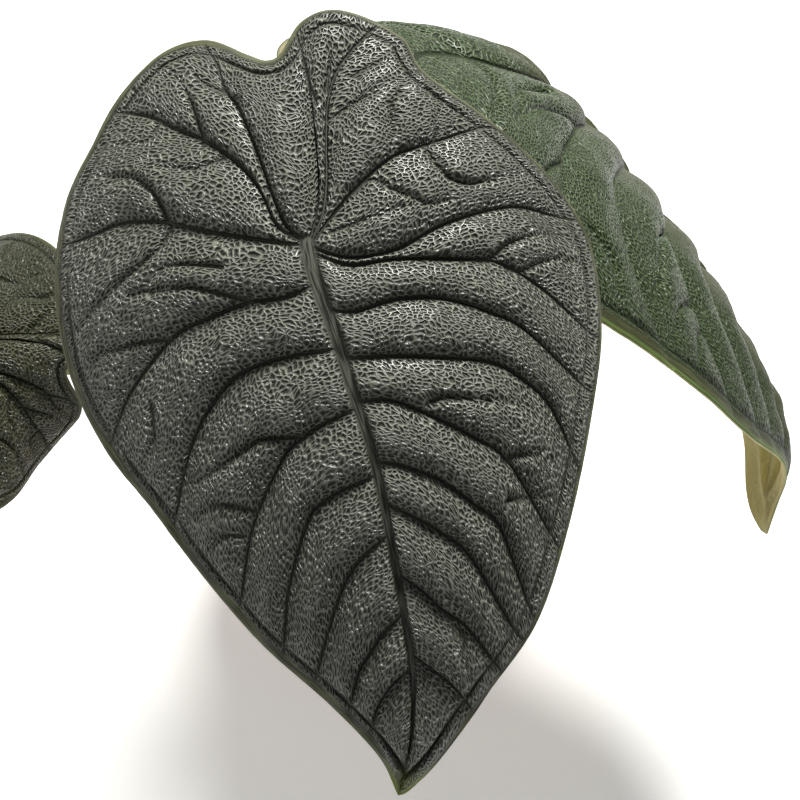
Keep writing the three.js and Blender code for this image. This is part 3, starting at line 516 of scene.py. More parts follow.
# faces of one skin over every step-th column and row
def skinFaces(net, step, ids, centreIds, centreY):
    columns = np.arange(0, ids.shape[0], step)
    rows = np.r_[np.arange(0, ids.shape[1] - 1, step), ids.shape[1] - 1]
    quads = []
    for a, b in zip(columns, np.r_[columns[1:], 0]):
        inner = ids[a, rows]
        outer = ids[b, rows]
        quads.append(np.c_[inner[:-1], outer[:-1], outer[1:], inner[1:]])
    quads = np.concatenate(quads)
    hubColumn = np.argmin(net["flat"][:, net["stripRows"], 1])
    left = columns[columns <= hubColumn]
    right = columns[columns > hubColumn][::-1]
    rootY = net["flat"][:, 0, 1]
    picked = np.arange(0, len(centreIds), step)
    picked[-1] = len(centreIds) - 1
    centre = centreIds[picked]
    centreAt = centreY[picked]
    tris = stitched(ids[left, 0], rootY[left], centre, centreAt, False)
    right = np.r_[left[0], right]
    tris += stitched(ids[right, 0], rootY[right], centre, centreAt, True)
    tris.append((ids[left[-1], 0], centre[-1], ids[right[-1], 0]))
    return quads, tris


# Closed fine blade with what its material reads stored on the mesh.
def buildBlade(name, shape, net):
    bent = HangingBlade(shape)
    scale = shape["scale"]
    count, rows = net["q"].shape
    x, y = net["flat"].reshape(-1, 2).T
    base = bent.at(x, y)
    normal = bent.normalAt(x, y)
    q = net["q"]
    ribbon = net["ribbon"]
    relief = net["relief"]
    keelAt = np.interp(y, *np.array(blade["midribKeel"], float).T).reshape(count, rows)
    body = lerp(blade["thickness"], blade["rimThickness"], q ** 3)
    ribs = blade["underRib"] * (1 - q) * np.exp(-(net["beside"] / 1.1) ** 2)
    besideKeel = 0.45 * keelAt * np.exp(-q / 0.05)
    thick = np.where(ribbon > 0, lerp(body + besideKeel, keelAt, ribbon ** 0.6), body + ribs + besideKeel)
    # the lower skin stays under the lowest of its neighbours, so the two never cross
    around = [np.roll(relief, k, 0) for k in (-1, 0, 1)]
    lowest = np.minimum.reduce(around)
    padded = np.pad(lowest, ((0, 0), (1, 1)), mode="edge")
    lowest = np.minimum.reduce([padded[:, :-2], padded[:, 1:-1], padded[:, 2:]])
    lowest[:, -1] = relief[:, -1]
    upper = base + normal * (relief.reshape(-1, 1) * scale)
    lower = base + normal * ((lowest - thick).reshape(-1, 1) * scale)

    centreY = np.linspace(tipStart[1], 0, blade["centreSteps"] + 1)
    centreX = midribX(centreY)
    centreBase = bent.at(centreX, centreY)
    centreNormal = bent.normalAt(centreX, centreY)
    keel = np.interp(centreY, *np.array(blade["midribKeel"], float).T)[:, None]
    centreUpper = centreBase - centreNormal * 0.1 * scale
    centreLower = centreBase - centreNormal * (0.2 + keel) * scale

    skin = count * rows
    ids = np.arange(skin).reshape(count, rows)
    centreIds = 2 * skin + np.arange(len(centreY))
    quadsUp, trisUp = skinFaces(net, 1, ids, centreIds, centreY)
    quadsLow, trisLow = skinFaces(net, 2, ids + skin, centreIds + len(centreY), centreY)
    faces = [tuple(f) for f in quadsUp.tolist()] + trisUp
    faces += [tuple(f[::-1]) for f in quadsLow.tolist()] + [f[::-1] for f in trisLow]
    # rim: two steps of the upper margin meet one of the lower
    rim = ids[:, -1]
    for i in range(0, count, 2):
        a, b, c = rim[i], rim[i + 1], rim[(i + 2) % count]
        faces.append((a, b, a + skin))
        faces.append((b, c, c + skin, a + skin))

    mesh = bpy.data.meshes.new(name)
    points = np.vstack([upper, lower, centreUpper, centreLower]) * mm
    mesh.from_pydata(points.tolist(), [], faces)

    # per corner: place in the net of cells, which starts anew in each pillow
    cells = np.zeros((len(points), 2))
    cells[:skin] = np.stack([net["cellAlong"], net["cellAcross"]], -1).reshape(-1, 2)
    cells[skin:2 * skin] = cells[:skin]
    closing = cells.copy()
    closing[:skin, 1] = net["cellClosing"].ravel()
    closing[skin:2 * skin, 1] = net["cellClosing"].ravel()
    corners = np.zeros((len(mesh.loops), 3))
    loopVertex = np.zeros(len(mesh.loops), int)
    mesh.loops.foreach_get("vertex_index", loopVertex)
    corners[:, :2] = cells[loopVertex]
    column = np.r_[np.tile(np.repeat(np.arange(count), rows), 2), np.full(2 * len(centreY), -1)]
    loopColumn = column[loopVertex]
    loopFace = np.repeat(np.arange(len(mesh.polygons)), [len(f) for f in faces])
    starts = np.r_[0, np.cumsum([len(f) for f in faces])[:-1]]
    lowestColumn = np.minimum.reduceat(loopColumn, starts)[loopFace]
    highestColumn = np.maximum.reduceat(loopColumn, starts)[loopFace]
    wraps = (lowestColumn == 0) & (highestColumn > count - 4)
    isLast = (loopColumn == highestColumn) & (highestColumn > lowestColumn)
    isClosing = np.where(wraps, loopColumn == 0, isLast)
    isClosing &= net["isKey"][np.maximum(loopColumn, 0)] & (lowestColumn >= 0)
    corners[isClosing, :2] = closing[loopVertex[isClosing]]
    mesh.attributes.new("cellPlace", "FLOAT_VECTOR", "CORNER").data.foreach_set("vector", corners.ravel())

    centreZero = np.zeros(2 * len(centreY))
    stored = {
        "veinMm": np.minimum(net["beside"], 9),
        "sideMm": net["side"],
        "marginMm": net["margin"],
        "inBand": np.minimum(net["inBand"], 9),
        "fromMidrib": net["flat"][..., 0] - midribX(np.clip(net["flat"][..., 1], 0, tipStart[1])),
        "netMask": net["mask"],
        "ribbon": ribbon,
        "tipShare": blendBetween(140, 150, net["flat"][..., 1]),
    }
    atCentre = {"marginMm": 14, "inBand": 9, "sideMm": 6, "ribbon": 1}
    for key, values in stored.items():
        values = np.r_[values.ravel(), values.ravel(), centreZero + atCentre.get(key, 0)]
        mesh.attributes.new(key, "FLOAT", "POINT").data.foreach_set("value", values)
    under = np.r_[np.zeros(skin), np.ones(skin), np.zeros(len(centreY)), np.ones(len(centreY))]
    mesh.attributes.new("underSide", "FLOAT", "POINT").data.foreach_set("value", under)

    bm = bmesh.new()
    bm.from_mesh(mesh)
    loose = [v for v in bm.verts if not v.link_faces]
    bmesh.ops.delete(bm, geom=loose, context="VERTS")
    bmesh.ops.remove_doubles(bm, verts=bm.verts, dist=0.004 * mm)
    bmesh.ops.recalc_face_normals(bm, faces=bm.faces)
    for face in bm.faces:
        face.smooth = True
    bm.to_mesh(mesh)
    bm.free()
    return newObject(name, mesh)


# The net of fine veins, in millimetres: its cells are longer along the pillow than across it.
cellNet = {
    "length": 1.7,
    "width": 1.15,
    "warps": ((0.45, 1.5), (0.09, 6.0)),  # frequency and reach of the wobbles that make the cells uneven
    "ridgeSpan": (0.08, 0.36),  # where a ridge's colour fades out, as shares of a cell
    "riseSpan": (0.03, 0.46),   # where its slope starts and ends
    "ridgeHeight": 0.08,
    "specksPerCell": 2.2,       # flecks of some 0.7 mm that make the pits uneven
    "cloud": 14.3,              # broad changes of green
    "mottle": 3.85,             # and of the lower side's colour
    "grain": 0.2,               # skin grain, too fine to see but as a bump
    "dashLength": 6.67,         # pale dashes along the margin and the midrib
    "dashWidth": 0.455,
}


# the same nodes make the raised net in the mesh and the pattern in the material
def netPattern(tree, given, density):
    place = addNode(tree, "VectorMath", {"operation": "SCALE", "Scale": density}, {0: given}).outputs[0]
    moved = place
    for scale, reach in cellNet["warps"]:
        wobble = addNode(tree, "TexNoise", {"Scale": scale, "Detail": 1.0}, {"Vector": place})
        centred = addNode(
            tree, "VectorMath", {"operation": "SUBTRACT", 1: (0.5, 0.5, 0.5)},
            {0: wobble.outputs["Color"]})
        moved = addNode(
            tree, "VectorMath", {"operation": "MULTIPLY_ADD", 1: (reach, reach, 0)},
            {0: centred, 2: moved}).outputs[0]
    scaled = addNode(
        tree, "VectorMath",
        {"operation": "MULTIPLY", 1: (1 / cellNet["length"], 1 / cellNet["width"], 0)},
        {0: moved})
    cells = addNode(
        tree, "TexVoronoi",
        {"voronoi_dimensions": "2D", "feature": "DISTANCE_TO_EDGE", "Scale": 1.0, "Randomness": 0.8},
        {"Vector": scaled})
    ridge, rise = [
        addNode(
            tree, "MapRange", {"interpolation_type": "SMOOTHSTEP", 1: near, 2: far, 3: 1.0, 4: 0.0},
            {0: cells})
        for near, far in (cellNet["ridgeSpan"], cellNet["riseSpan"])
    ]
    return ridge, rise, scaled


def raisedNetTree(density):
    tree, given = newTree(
        "raisedNet", {"Geometry": "Geometry", "Ridge height": "Float", "Material": "Material"})
    place, mask, under = [
        addNode(tree, "GeometryNodeInputNamedAttribute", {"data_type": kind, "Name": name})
        for kind, name in (("FLOAT_VECTOR", "cellPlace"), ("FLOAT", "netMask"), ("FLOAT", "underSide"))
    ]
    _, rise, _ = netPattern(tree, place, density)
    above = addNode(tree, "Math", {"operation": "SUBTRACT", 0: 1.0}, {1: under})
    masked = addNode(tree, "Math", {"operation": "MULTIPLY"}, {0: mask, 1: rise})
    shown = addNode(tree, "Math", {"operation": "MULTIPLY"}, {0: masked, 1: above})
    height = addNode(tree, "Math", {"operation": "MULTIPLY"}, {0: shown, 1: given["Ridge height"]})
    outwards = addNode(tree, "GeometryNodeInputNormal")
    offset = addNode(tree, "VectorMath", {"operation": "SCALE"}, {0: outwards, "Scale": height})
    raised = addNode(
        tree, "GeometryNodeSetPosition", sources={"Geometry": given["Geometry"], "Offset": offset})
    real = addNode(tree, "GeometryNodeRealizeInstances", sources={"Geometry": raised})
    dressed = addNode(
        tree, "GeometryNodeSetMaterial", sources={"Geometry": real, "Material": given["Material"]})
    addNode(tree, "NodeGroupOutput", sources={0: dressed})
    return tree


# runs a node tree on a piece, with its inputs set by their sockets' identifiers
def shapeWith(piece, tree, inputs):
    modifier = piece.modifiers.new("shape", "NODES")
    modifier.node_group = tree
    for item in tree.interface.items_tree:
        if item.in_out == "INPUT" and item.name in inputs:
            modifier[item.identifier] = inputs[item.name]
    settle(piece)


# Living leaf: waxy skin over a raised net of veinlets. The ridges are painted pale, partly their own tone and
# partly painted highlight; the pits between get painted shade and stay dark.
def leafMaterial(name, look):
    material, tree, surface = newMaterial(
        name, {"Specular IOR Level": look["gloss"], "Coat Roughness": 0.28})
    cellPlace = addNode(tree, "Attribute", {"attribute_name": "cellPlace"}).outputs["Vector"]
    ridge, rise, scaled = netPattern(tree, cellPlace, look["density"])
    objectPlace = addNode(tree, "TexCoord").outputs["Object"]
    stored = (
        "netMask", "veinMm", "sideMm", "marginMm", "inBand", "fromMidrib", "ribbon", "tipShare", "underSide",
    )
    read = {key: addNode(tree, "Attribute", {"attribute_name": key}).outputs["Fac"] for key in stored}

    # zones of the skin, each a soft step: what it is measured by, its start and end, the share at each
    zones = {
        "wash": ("fromMidrib", look["washFrom"], look["washTo"], 0.0, 1.0),
        "veinFloor": ("veinMm", 0.1, 0.7, 0.45, 0.0),
        "sideFloor": ("sideMm", 0.05, 0.45, 0.35, 0.0),
        "midrib": ("ribbon", 0.0, 0.3, 0.0, 1.0),
        "band": ("inBand", 0.7, 1.3, 0.9, 0.0),
        "rim": ("marginMm", 0.5, 1.2, 0.8, 0.0),
    }
    share = {}
    for zone, (key, start, end, first, last) in zones.items():
        share[zone] = addNode(
            tree, "MapRange", {"interpolation_type": "SMOOTHSTEP", 1: start, 2: end, 3: first, 4: last},
            {0: read[key]})
    # painted shade along the floors of the main and side veins; below, the same share paints the pale veins
    # of the lower side
    groove = addNode(tree, "Math", {"operation": "MAXIMUM"}, {0: share["veinFloor"], 1: share["sideFloor"]})

    # one side of a blade can be smoother and of another green, which is its wash
    unwashed = addNode(
        tree, "Math", {"operation": "MULTIPLY_ADD", 1: -look["washStrength"], 2: 1.0}, {0: share["wash"]})
    netMask = addNode(tree, "Math", {"operation": "MULTIPLY"}, {0: unwashed, 1: read["netMask"]})
    netShown, netRise = [
        addNode(tree, "Math", {"operation": "MULTIPLY"}, {0: pattern, 1: netMask})
        for pattern in (ridge, rise)
    ]
    # broad clouds of slightly other green
    clouds = addNode(
        tree, "TexNoise", {"Scale": scaleFor(cellNet["cloud"]), "Detail": 3.0}, {"Vector": objectPlace})
    ground = painted(tree, look["ground"], [(clouds, look["cloud"]), (share["wash"], look["wash"])])
    # painted shade: the deeper into the net's hollows, the darker; away from the net the skin keeps its plain
    # colour
    speckle = addNode(
        tree, "TexNoise", {"Scale": cellNet["specksPerCell"], "Detail": 2.0}, {"Vector": scaled})
    shallow = addNode(tree, "Math", {"operation": "MULTIPLY_ADD", 1: 0.5}, {0: speckle, 2: netRise})
    bare = addNode(tree, "Math", {"operation": "SUBTRACT", 0: 1.0}, {1: netMask})
    pitShadeMix = addNode(tree, "Math", {"operation": "MAXIMUM", "use_clamp": True}, {0: shallow, 1: bare})
    skin = addNode(tree, "Mix", {"data_type": "RGBA", 6: toLinear(look["pit"])}, {0: pitShadeMix, 7: ground})
    uneven = addNode(tree, "MapRange", {1: 0.3, 2: 0.6, 3: 0.35, 4: 1.0}, {0: speckle})
    # pale ridges: partly the veinlets' own tone and partly painted highlight, made uneven by the specks
    ridgeToneAndHighlight = addNode(tree, "Math", {"operation": "MULTIPLY"}, {0: netShown, 1: uneven})

    # long cells run along the margin and the midrib: dashes of noise, narrow across and long along
    slow = addNode(
        tree, "VectorMath", {"operation": "SCALE", "Scale": scaleFor(cellNet["dashLength"])},
        {0: objectPlace})
    slow = addNode(tree, "SeparateXYZ", sources={0: slow})
    dashes = []
    for key, zone in (("marginMm", "band"), ("fromMidrib", "midrib")):
        across = addNode(tree, "Math", {"operation": "DIVIDE", 1: cellNet["dashWidth"]}, {0: read[key]})
        place = addNode(tree, "CombineXYZ", sources={0: across, 1: slow.outputs["Y"], 2: slow.outputs["Z"]})
        dash = addNode(tree, "TexNoise", {"Scale": 1.0, "Detail": 2.0}, {"Vector": place})
        dashes.append(addNode(tree, "Math", {"operation": "MULTIPLY"}, {0: dash, 1: share[zone]}))
    dashed = addNode(tree, "Math", {"operation": "MAXIMUM"}, {0: dashes[0], 1: dashes[1]})
    bandDash, midribDash = [
        addNode(tree, "MapRange", {1: 0.4, 2: 0.56, 3: 0.0, 4: 0.7}, {0: dash}) for dash in dashes
    ]
    # painted highlight along the rim, which can be weaker beyond the midrib
    rimHighlightSide = addNode(
        tree, "MapRange", {1: -6.0, 2: 6.0, 3: 1.0, 4: look["rimBeyond"]}, {0: read["fromMidrib"]})
    rim = addNode(tree, "Math", {"operation": "MULTIPLY"}, {0: share["rim"], 1: rimHighlightSide})
    # painted over the skin: ridges partly as highlight, vein grooves as shade, the rim as highlight
    skin = painted(tree, skin, [
        (ridgeToneAndHighlight, look["ridge"]), (groove, look["groove"]), (share["midrib"], look["midrib"]),
        (share["band"], look["band"]), (bandDash, look["bandLine"]), (midribDash, look["midribLine"]),
        (rim, look["rim"]), (read["tipShare"], look["tip"]),
    ])

    # paler lower side with veins that stand out light
    mottle = addNode(
        tree, "TexNoise", {"Scale": scaleFor(cellNet["mottle"]), "Detail": 4.0}, {"Vector": objectPlace})
    below = painted(tree, look["under"], [(mottle, look["underShade"]), (groove, look["underVein"])])
    colour = addNode(tree, "Mix", {"data_type": "RGBA"}, {0: read["underSide"], 6: skin, 7: below})

    rough = addNode(
        tree, "MapRange", {1: 0.0, 2: 1.0, 3: look["pitRoughness"], 4: look["ridgeRoughness"]}, {0: netShown})
    waxed = addNode(tree, "MapRange", {1: 0.0, 2: 1.0, 3: 0.2 * look["wax"], 4: look["wax"]}, {0: netShown})
    # skin grain, dashes and net, each on top of the one before
    relief = addNode(
        tree, "TexNoise", {"Scale": scaleFor(cellNet["grain"]), "Detail": 2.0}, {"Vector": objectPlace})
    relief = addNode(tree, "Bump", {"Strength": 0.5, "Distance": 0.03 * mm}, {"Height": relief})
    for height, depth in ((dashed, 0.12), (netRise, look["netBump"])):
        relief = addNode(
            tree, "Bump", {"Strength": 1.0, "Distance": depth * mm}, {"Height": height, "Normal": relief})
    feed(surface, {
        "Base Color": colour, "Roughness": rough, "Normal": relief, "Coat Weight": waxed,
        "Coat Normal": relief,
    })
    return material


# How each blade hangs; profiles run along the midrib as [distance from the joint, value].
frontLeaf = {
    "joint": (-24.5, -87.4, 277.4),
    "scale": 1.0,
    "mirrored": False,
    "pitch": [(-60, 20), (0, 30), (70, 42), (145, 58)],
    "heading": [(-60, -90), (145, -90)],
    "roll": [(-60, 0), (145, 0)],
    "foldLow": [(-50, 8), (0, 8), (145, 6)],
    "foldHigh": [(-50, 8), (0, 8), (145, 6)],
    "bendLow": [(-50, 6), (145, 6)],
    "bendHigh": [(-50, 6), (145, 6)],
    # colours: ridges partly painted highlight, pits and vein grooves painted shade, rim painted highlight
    "ground": "#494a40", "cloud": "#57584d", "pit": "#12130d", "ridge": "#7f8176",
    "groove": "#1c1d15", "midrib": "#22231b", "midribLine": "#6a6c60", "band": "#27291a",
    "bandLine": "#6d6f4c", "rim": "#5f6248", "rimBeyond": 0.4, "tip": "#66721d",
    "wash": "#4b4d3f", "washFrom": 90, "washTo": 100, "washStrength": 0,
    "under": "#8f9070", "underShade": "#7c8060", "underVein": "#b0b08a",
    "pitRoughness": 0.6, "ridgeRoughness": 0.42, "netBump": 1.3, "gloss": 0.35, "wax": 0.5, "density": 1.0,
}
rightLeaf = {
    "joint": (51.8, 17.3, 242.5),
    "scale": 1.18,
    "mirrored": False,
    "pitch": [(-70, -70), (-30, -30), (0, 10), (50, 25), (100, 38), (150, 50)],
    "heading": [(-60, -47), (0, -48), (60, -51), (145, -54)],
    "roll": [(-60, -45), (0, -52), (90, -57), (130, -66), (152, -98)],
    "foldLow": [(-50, 10), (145, 10)],
    "foldHigh": [(-60, -10), (-20, 10), (10, 20), (145, 20)],
    "bendLow": [(-50, 8), (145, 8)],
    "bendHigh": [(-50, 12), (145, 12)],
    # colours: ridges partly painted highlight, pits and vein grooves painted shade, rim painted highlight
    "ground": "#263118", "cloud": "#2e3b1d", "pit": "#12190b", "ridge": "#4a593b", "groove": "#151c0d",
    "midrib": "#3e472a", "midribLine": "#5f6a48", "band": "#34371e", "bandLine": "#575b38",
    "rim": "#5e7438", "rimBeyond": 1, "tip": "#8a8f45",
    "wash": "#42442d", "washFrom": -28, "washTo": -9, "washStrength": 0.75,
    "under": "#d8cf9a", "underShade": "#c6bd88", "underVein": "#e2ddb8",
    "pitRoughness": 0.6, "ridgeRoughness": 0.42, "netBump": 0.6, "gloss": 0.3, "wax": 0.3, "density": 1.3,
}
leftLeaf = {
    "joint": (-140.8, -67.7, 209.1),
    "scale": 0.7,
    "mirrored": True,
    "pitch": [(-60, -13.5), (0, 5.9), (150, 34.2)],
    "heading": [(-60, 173.8), (0, 192.1), (145, 180.6)],
    "roll": [(-60, -34.7), (0, -3.3), (150, -9.8)],
    "foldLow": [(-50, 3.3), (60, 9.8)],
    "foldHigh": [(-50, 37.3), (60, 14.2)],
    "bendLow": [(-50, 6.9), (145, 6.9)],
    "bendHigh": [(-50, 10.6), (145, 10.6)],
    # colours: ridges partly painted highlight, pits and vein grooves painted shade, rim painted highlight
    "ground": "#2a2c1a", "cloud": "#343521", "pit": "#14150c", "ridge": "#575842", "groove": "#191a10",
    "midrib": "#3c3a2f", "midribLine": "#7c7466", "band": "#2c2d19", "bandLine": "#55563c",
    "rim": "#4f5133", "rimBeyond": 1, "tip": "#6f7a2a",
    "wash": "#2c2f1c", "washFrom": 6, "washTo": 24, "washStrength": 0.6,
    "under": "#8f9070", "underShade": "#7c8060", "underVein": "#b0b08a",
    "pitRoughness": 0.55, "ridgeRoughness": 0.4, "netBump": 1.0, "gloss": 0.35, "wax": 0.5, "density": 0.8,
}


def makeLeaves():
    net = quiltedNet()
    for name, node, shape in (
        ("leafFront", "leaf_front", frontLeaf),
        ("leafRight", "leaf_right", rightLeaf),
        ("leafLeft", "leaf_left", leftLeaf),
    ):
        material = leafMaterial(f"living {name} skin, waxy and netted", shape)
        piece = buildBlade(name, shape, net)
        height = cellNet["ridgeHeight"] * shape["scale"] * mm
        shapeWith(piece, raisedNetTree(shape["density"]), {"Ridge height": height, "Material": material})
        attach(piece, "root")
        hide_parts(node)
        print(name, "made,", sum(len(p.vertices) - 2 for p in piece.data.polygons), "triangles")


makeLeaves()


# Stalks: round petioles whose sheathing foot is open on one side, bent from the stem to each blade.
stalkShape = {
    "clearance": 0.3,
    "socketDepth": 9,
    "socketCircle": 7.4,
    "stemTop": 113,
    "straightFoot": 14,
    "footRadius": 4.1,
    "sheathRadius": 5.2,
    "sheathLength": 62,
    "flareLength": 6,
    "sheathGroove": 0.34,
    "grooveAngle": 0.42,
    "neck": 0.35,
    "jointDepth": 3.6,          # from the blade's surface down to the stalk's end
    "lips": (0.1, 0.8, 0.16),   # of the sheath: height, place and width round the stalk
    "ribs": (0.05, 9),          # height and number
    "sides": 48,
    "ringStep": 1.1,
    "green": "#8a9457", "pale": "#a3a86e", "foot": "#7b6f4a", "fleck": "#5a4a33",
    "roughness": 0.42, "stripeSize": 0.5, "fleckSize": 1.6,
}
stalks = {
    "stalkFront": {
        "node": "stalk_front", "leaf": frontLeaf, "compass": -95, "lean": (-0.05, -0.16, 1),
        "pulls": (95, 55), "groove": (0, 1, 0), "tipRadius": 2.8,
    },
    "stalkRight": {
        "node": "stalk_right", "leaf": rightLeaf, "compass": 25, "lean": (0.16, 0.1, 1),
        "pulls": (70, 45), "groove": (-1, -0.4, 0), "tipRadius": 2.9,
    },
    "stalkLeft": {
        "node": "stalk_left", "leaf": leftLeaf, "compass": 148, "lean": (-0.33, -0.04, 1),
        "pulls": (80, 48), "groove": (1, -0.5, 0), "tipRadius": 2.2,
    },
}


# centre line of a stalk: straight in its socket, then a curve that ends square under the blade
def stalkLine(stalk):
    bent = HangingBlade(stalk["leaf"])
    joint = np.zeros(1)
    up = bent.normalAt(joint, joint)[0]
    depth = stalkShape["jointDepth"] * stalk["leaf"]["scale"] + stalkShape["clearance"]
    end = bent.at(joint, joint)[0] - up * depth
    compass = math.radians(stalk["compass"])
    foot = np.array([
        stalkShape["socketCircle"] * math.cos(compass),
        stalkShape["socketCircle"] * math.sin(compass),
        stalkShape["stemTop"] - stalkShape["socketDepth"],
    ])
    axis = np.array(stalk["lean"], float)
    axis /= np.linalg.norm(axis)
    start = foot + axis * stalkShape["straightFoot"]
    t = np.linspace(0, 1, 400)[:, None]
    near = start + axis * stalk["pulls"][0]
    far = end - up * stalk["pulls"][1]
    curve = (1 - t) ** 3 * start + 3 * (1 - t) ** 2 * t * near + 3 * (1 - t) * t ** 2 * far + t ** 3 * end
    # the last stretch runs on into the blade's keel, so the two look grown together
    points = np.vstack([foot, curve, end + up * (stalkShape["clearance"] + 0.5)])
    along = np.r_[0, np.cumsum(np.linalg.norm(np.diff(points, axis=0), axis=1))]
    count = int(along[-1] / stalkShape["ringStep"])
    place = np.linspace(0, along[-1], count)
    return place, np.stack([np.interp(place, along, points[:, c]) for c in range(3)], -1)


def buildStalk(name, stalk):
    place, line = stalkLine(stalk)
    total = place[-1]
    flareStart = stalkShape["socketDepth"] + 2
    flareEnd = flareStart + stalkShape["flareLength"]
    rise = blendBetween(flareStart, flareEnd, place)
    thick = lerp(stalkShape["footRadius"], stalkShape["sheathRadius"], rise)
    t = np.clip((place - flareEnd) / (total - flareEnd), 0, 1)
    radius = lerp(thick, stalk["tipRadius"], t ** 0.75)
    radius = radius + stalkShape["neck"] * np.exp(-((total - place) / 5) ** 2)
    opened = np.clip(1 - (place - flareStart) / stalkShape["sheathLength"], 0, 1) * (place > flareStart)

    sides = stalkShape["sides"]
    lipHeight, lipAngle, lipWidth = stalkShape["lips"]
    ribHeight, ribCount = stalkShape["ribs"]
    angle = 2 * np.pi * np.arange(sides) / sides
    tangents = np.gradient(line, axis=0)
    tangents /= np.linalg.norm(tangents, axis=1)[:, None]
    side = np.array(stalk["groove"], float)
    rings = []
    for i, tangent in enumerate(tangents):
        side = side - tangent * (side @ tangent)
        side = side / np.linalg.norm(side)
        other = np.cross(tangent, side)
        turn = np.minimum(angle, 2 * np.pi - angle)
        inGroove = np.exp(-(turn / stalkShape["grooveAngle"]) ** 2)
        lips = lipHeight * np.exp(-((turn - lipAngle) / lipWidth) ** 2) * opened[i]
        r = radius[i] * (1 - stalkShape["sheathGroove"] * opened[i] * inGroove + lips)
        r = r + ribHeight * np.sin(ribCount * angle + 0.01 * place[i]) * (1 - 0.5 * t[i])
        outwards = np.cos(angle)[:, None] * side + np.sin(angle)[:, None] * other
        rings.append(line[i] + r[:, None] * outwards)
    return tubeFrom(name, np.array(rings), place)


# closed tube through rings of points, with its length and its way round stored for the material
def tubeFrom(name, rings, place):
    count, sides = rings.shape[:2]
    ids = np.arange(count * sides).reshape(count, sides)
    turned = np.roll(ids, -1, axis=1)
    quads = np.stack([ids[:-1], turned[:-1], turned[1:], ids[1:]], -1).reshape(-1, 4)
    points = np.vstack([rings.reshape(-1, 3), rings[0].mean(0), rings[-1].mean(0)])
    caps = [(count * sides, b, a) for a, b in zip(ids[0], turned[0])]
    caps += [(count * sides + 1, a, b) for a, b in zip(ids[-1], turned[-1])]
    mesh = bpy.data.meshes.new(name)
    mesh.from_pydata((points * mm).tolist(), [], [tuple(f) for f in quads.tolist()] + caps)
    along = np.r_[np.repeat(place, sides), place[0], place[-1]]
    mesh.attributes.new("alongMm", "FLOAT", "POINT").data.foreach_set("value", along)
    angle = 2 * np.pi * np.arange(sides) / sides
    way = np.zeros((len(points), 3))
    way[:count * sides, 0] = np.tile(np.cos(angle), count)
    way[:count * sides, 1] = np.tile(np.sin(angle), count)
    way[:, 2] = along
    mesh.attributes.new("wayRound", "FLOAT_VECTOR", "POINT").data.foreach_set("vector", way.ravel())
    mesh.shade_smooth()
    bm = bmesh.new()
    bm.from_mesh(mesh)
    bmesh.ops.recalc_face_normals(bm, faces=bm.faces)
    bm.to_mesh(mesh)
    bm.free()
    return newObject(name, mesh)


# Living petiole: smooth, faintly waxy, finely striped along its length and flecked with brown low down.
def stalkMaterial():
    look = stalkShape
    material, tree, surface = newMaterial(
        "living petiole skin, smooth and striped", {"Roughness": look["roughness"]})
    way = addNode(tree, "Attribute", {"attribute_name": "wayRound"})
    along = addNode(tree, "Attribute", {"attribute_name": "alongMm"})
    stripesRound = 4 / look["stripeSize"]   # the stalk's radius is some 4 mm
    stretched = addNode(
        tree, "VectorMath", {"operation": "MULTIPLY", 1: (stripesRound, stripesRound, 0.05)},
        {0: way.outputs["Vector"]})
    stripes = addNode(tree, "TexNoise", {"Scale": 1.0, "Detail": 3.0}, {"Vector": stretched})
    stripeShare = addNode(tree, "MapRange", {1: 0.35, 2: 0.65, 3: 0.0, 4: 1.0}, {0: stripes})
    objectPlace = addNode(tree, "TexCoord").outputs["Object"]
    spots = addNode(
        tree, "TexNoise", {"Scale": scaleFor(look["fleckSize"]), "Detail": 2.0}, {"Vector": objectPlace})
    spotShare = addNode(tree, "MapRange", {1: 0.56, 2: 0.7, 3: 0.0, 4: 1.0}, {0: spots})
    lowDown = addNode(tree, "MapRange", {1: 15.0, 2: 110.0, 3: 0.9, 4: 0.12}, {0: along.outputs["Fac"]})
    flecked = addNode(tree, "Math", {"operation": "MULTIPLY"}, {0: spotShare, 1: lowDown})
    footShare = addNode(tree, "MapRange", {1: 10.0, 2: 34.0, 3: 0.75, 4: 0.0}, {0: along.outputs["Fac"]})
    skin = painted(tree, look["green"], [
        (stripeShare, look["pale"]), (flecked, look["fleck"]), (footShare, look["foot"]),
    ])
    ribs = addNode(tree, "Bump", {"Strength": 0.6, "Distance": 0.08 * mm}, {"Height": stripes})
    feed(surface, {"Base Color": skin, "Normal": ribs})
    return material


def makeStalks():
    material = stalkMaterial()
    for name, stalk in stalks.items():
        piece = buildStalk(name, stalk)
        piece.data.materials.append(material)
        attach(piece, "root")
        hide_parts(stalk["node"])
    print("stalks made")


makeStalks()


# Short stem: rings left by dropped leaves, with dry papery remains between them.
stemShape = {
    "radius": 14.5, "bottom": 62, "bottomRadius": 9, "top": 113, "lip": 0.35, "groove": 0.75, "sides": 120,
    "scars": 5, "firstScar": 12, "lastScar": 5,     # above the bottom and below the top
    "shoulder": 4, "shoulderDrop": 3.2, "taper": 0.12, "footSlope": 0.9, "rings": 130,
    "fibre": 1.11, "patch": 6.25, "roughness": 0.8,
    "skin": "#7a6443", "dry": "#a08a63", "scar": "#453521", "green": "#6f7446",
}


def turnedRings(profile, sides):
    angle = 2 * np.pi * np.arange(sides) / sides
    profile = np.array(profile, float)
    rings = np.stack([
        np.outer(profile[:, 0], np.cos(angle)),
        np.outer(profile[:, 0], np.sin(angle)),
        np.repeat(profile[:, 1:], sides, 1),
    ], -1)
    place = np.r_[0, np.cumsum(np.hypot(*np.diff(profile, axis=0).T))]
    return rings, place


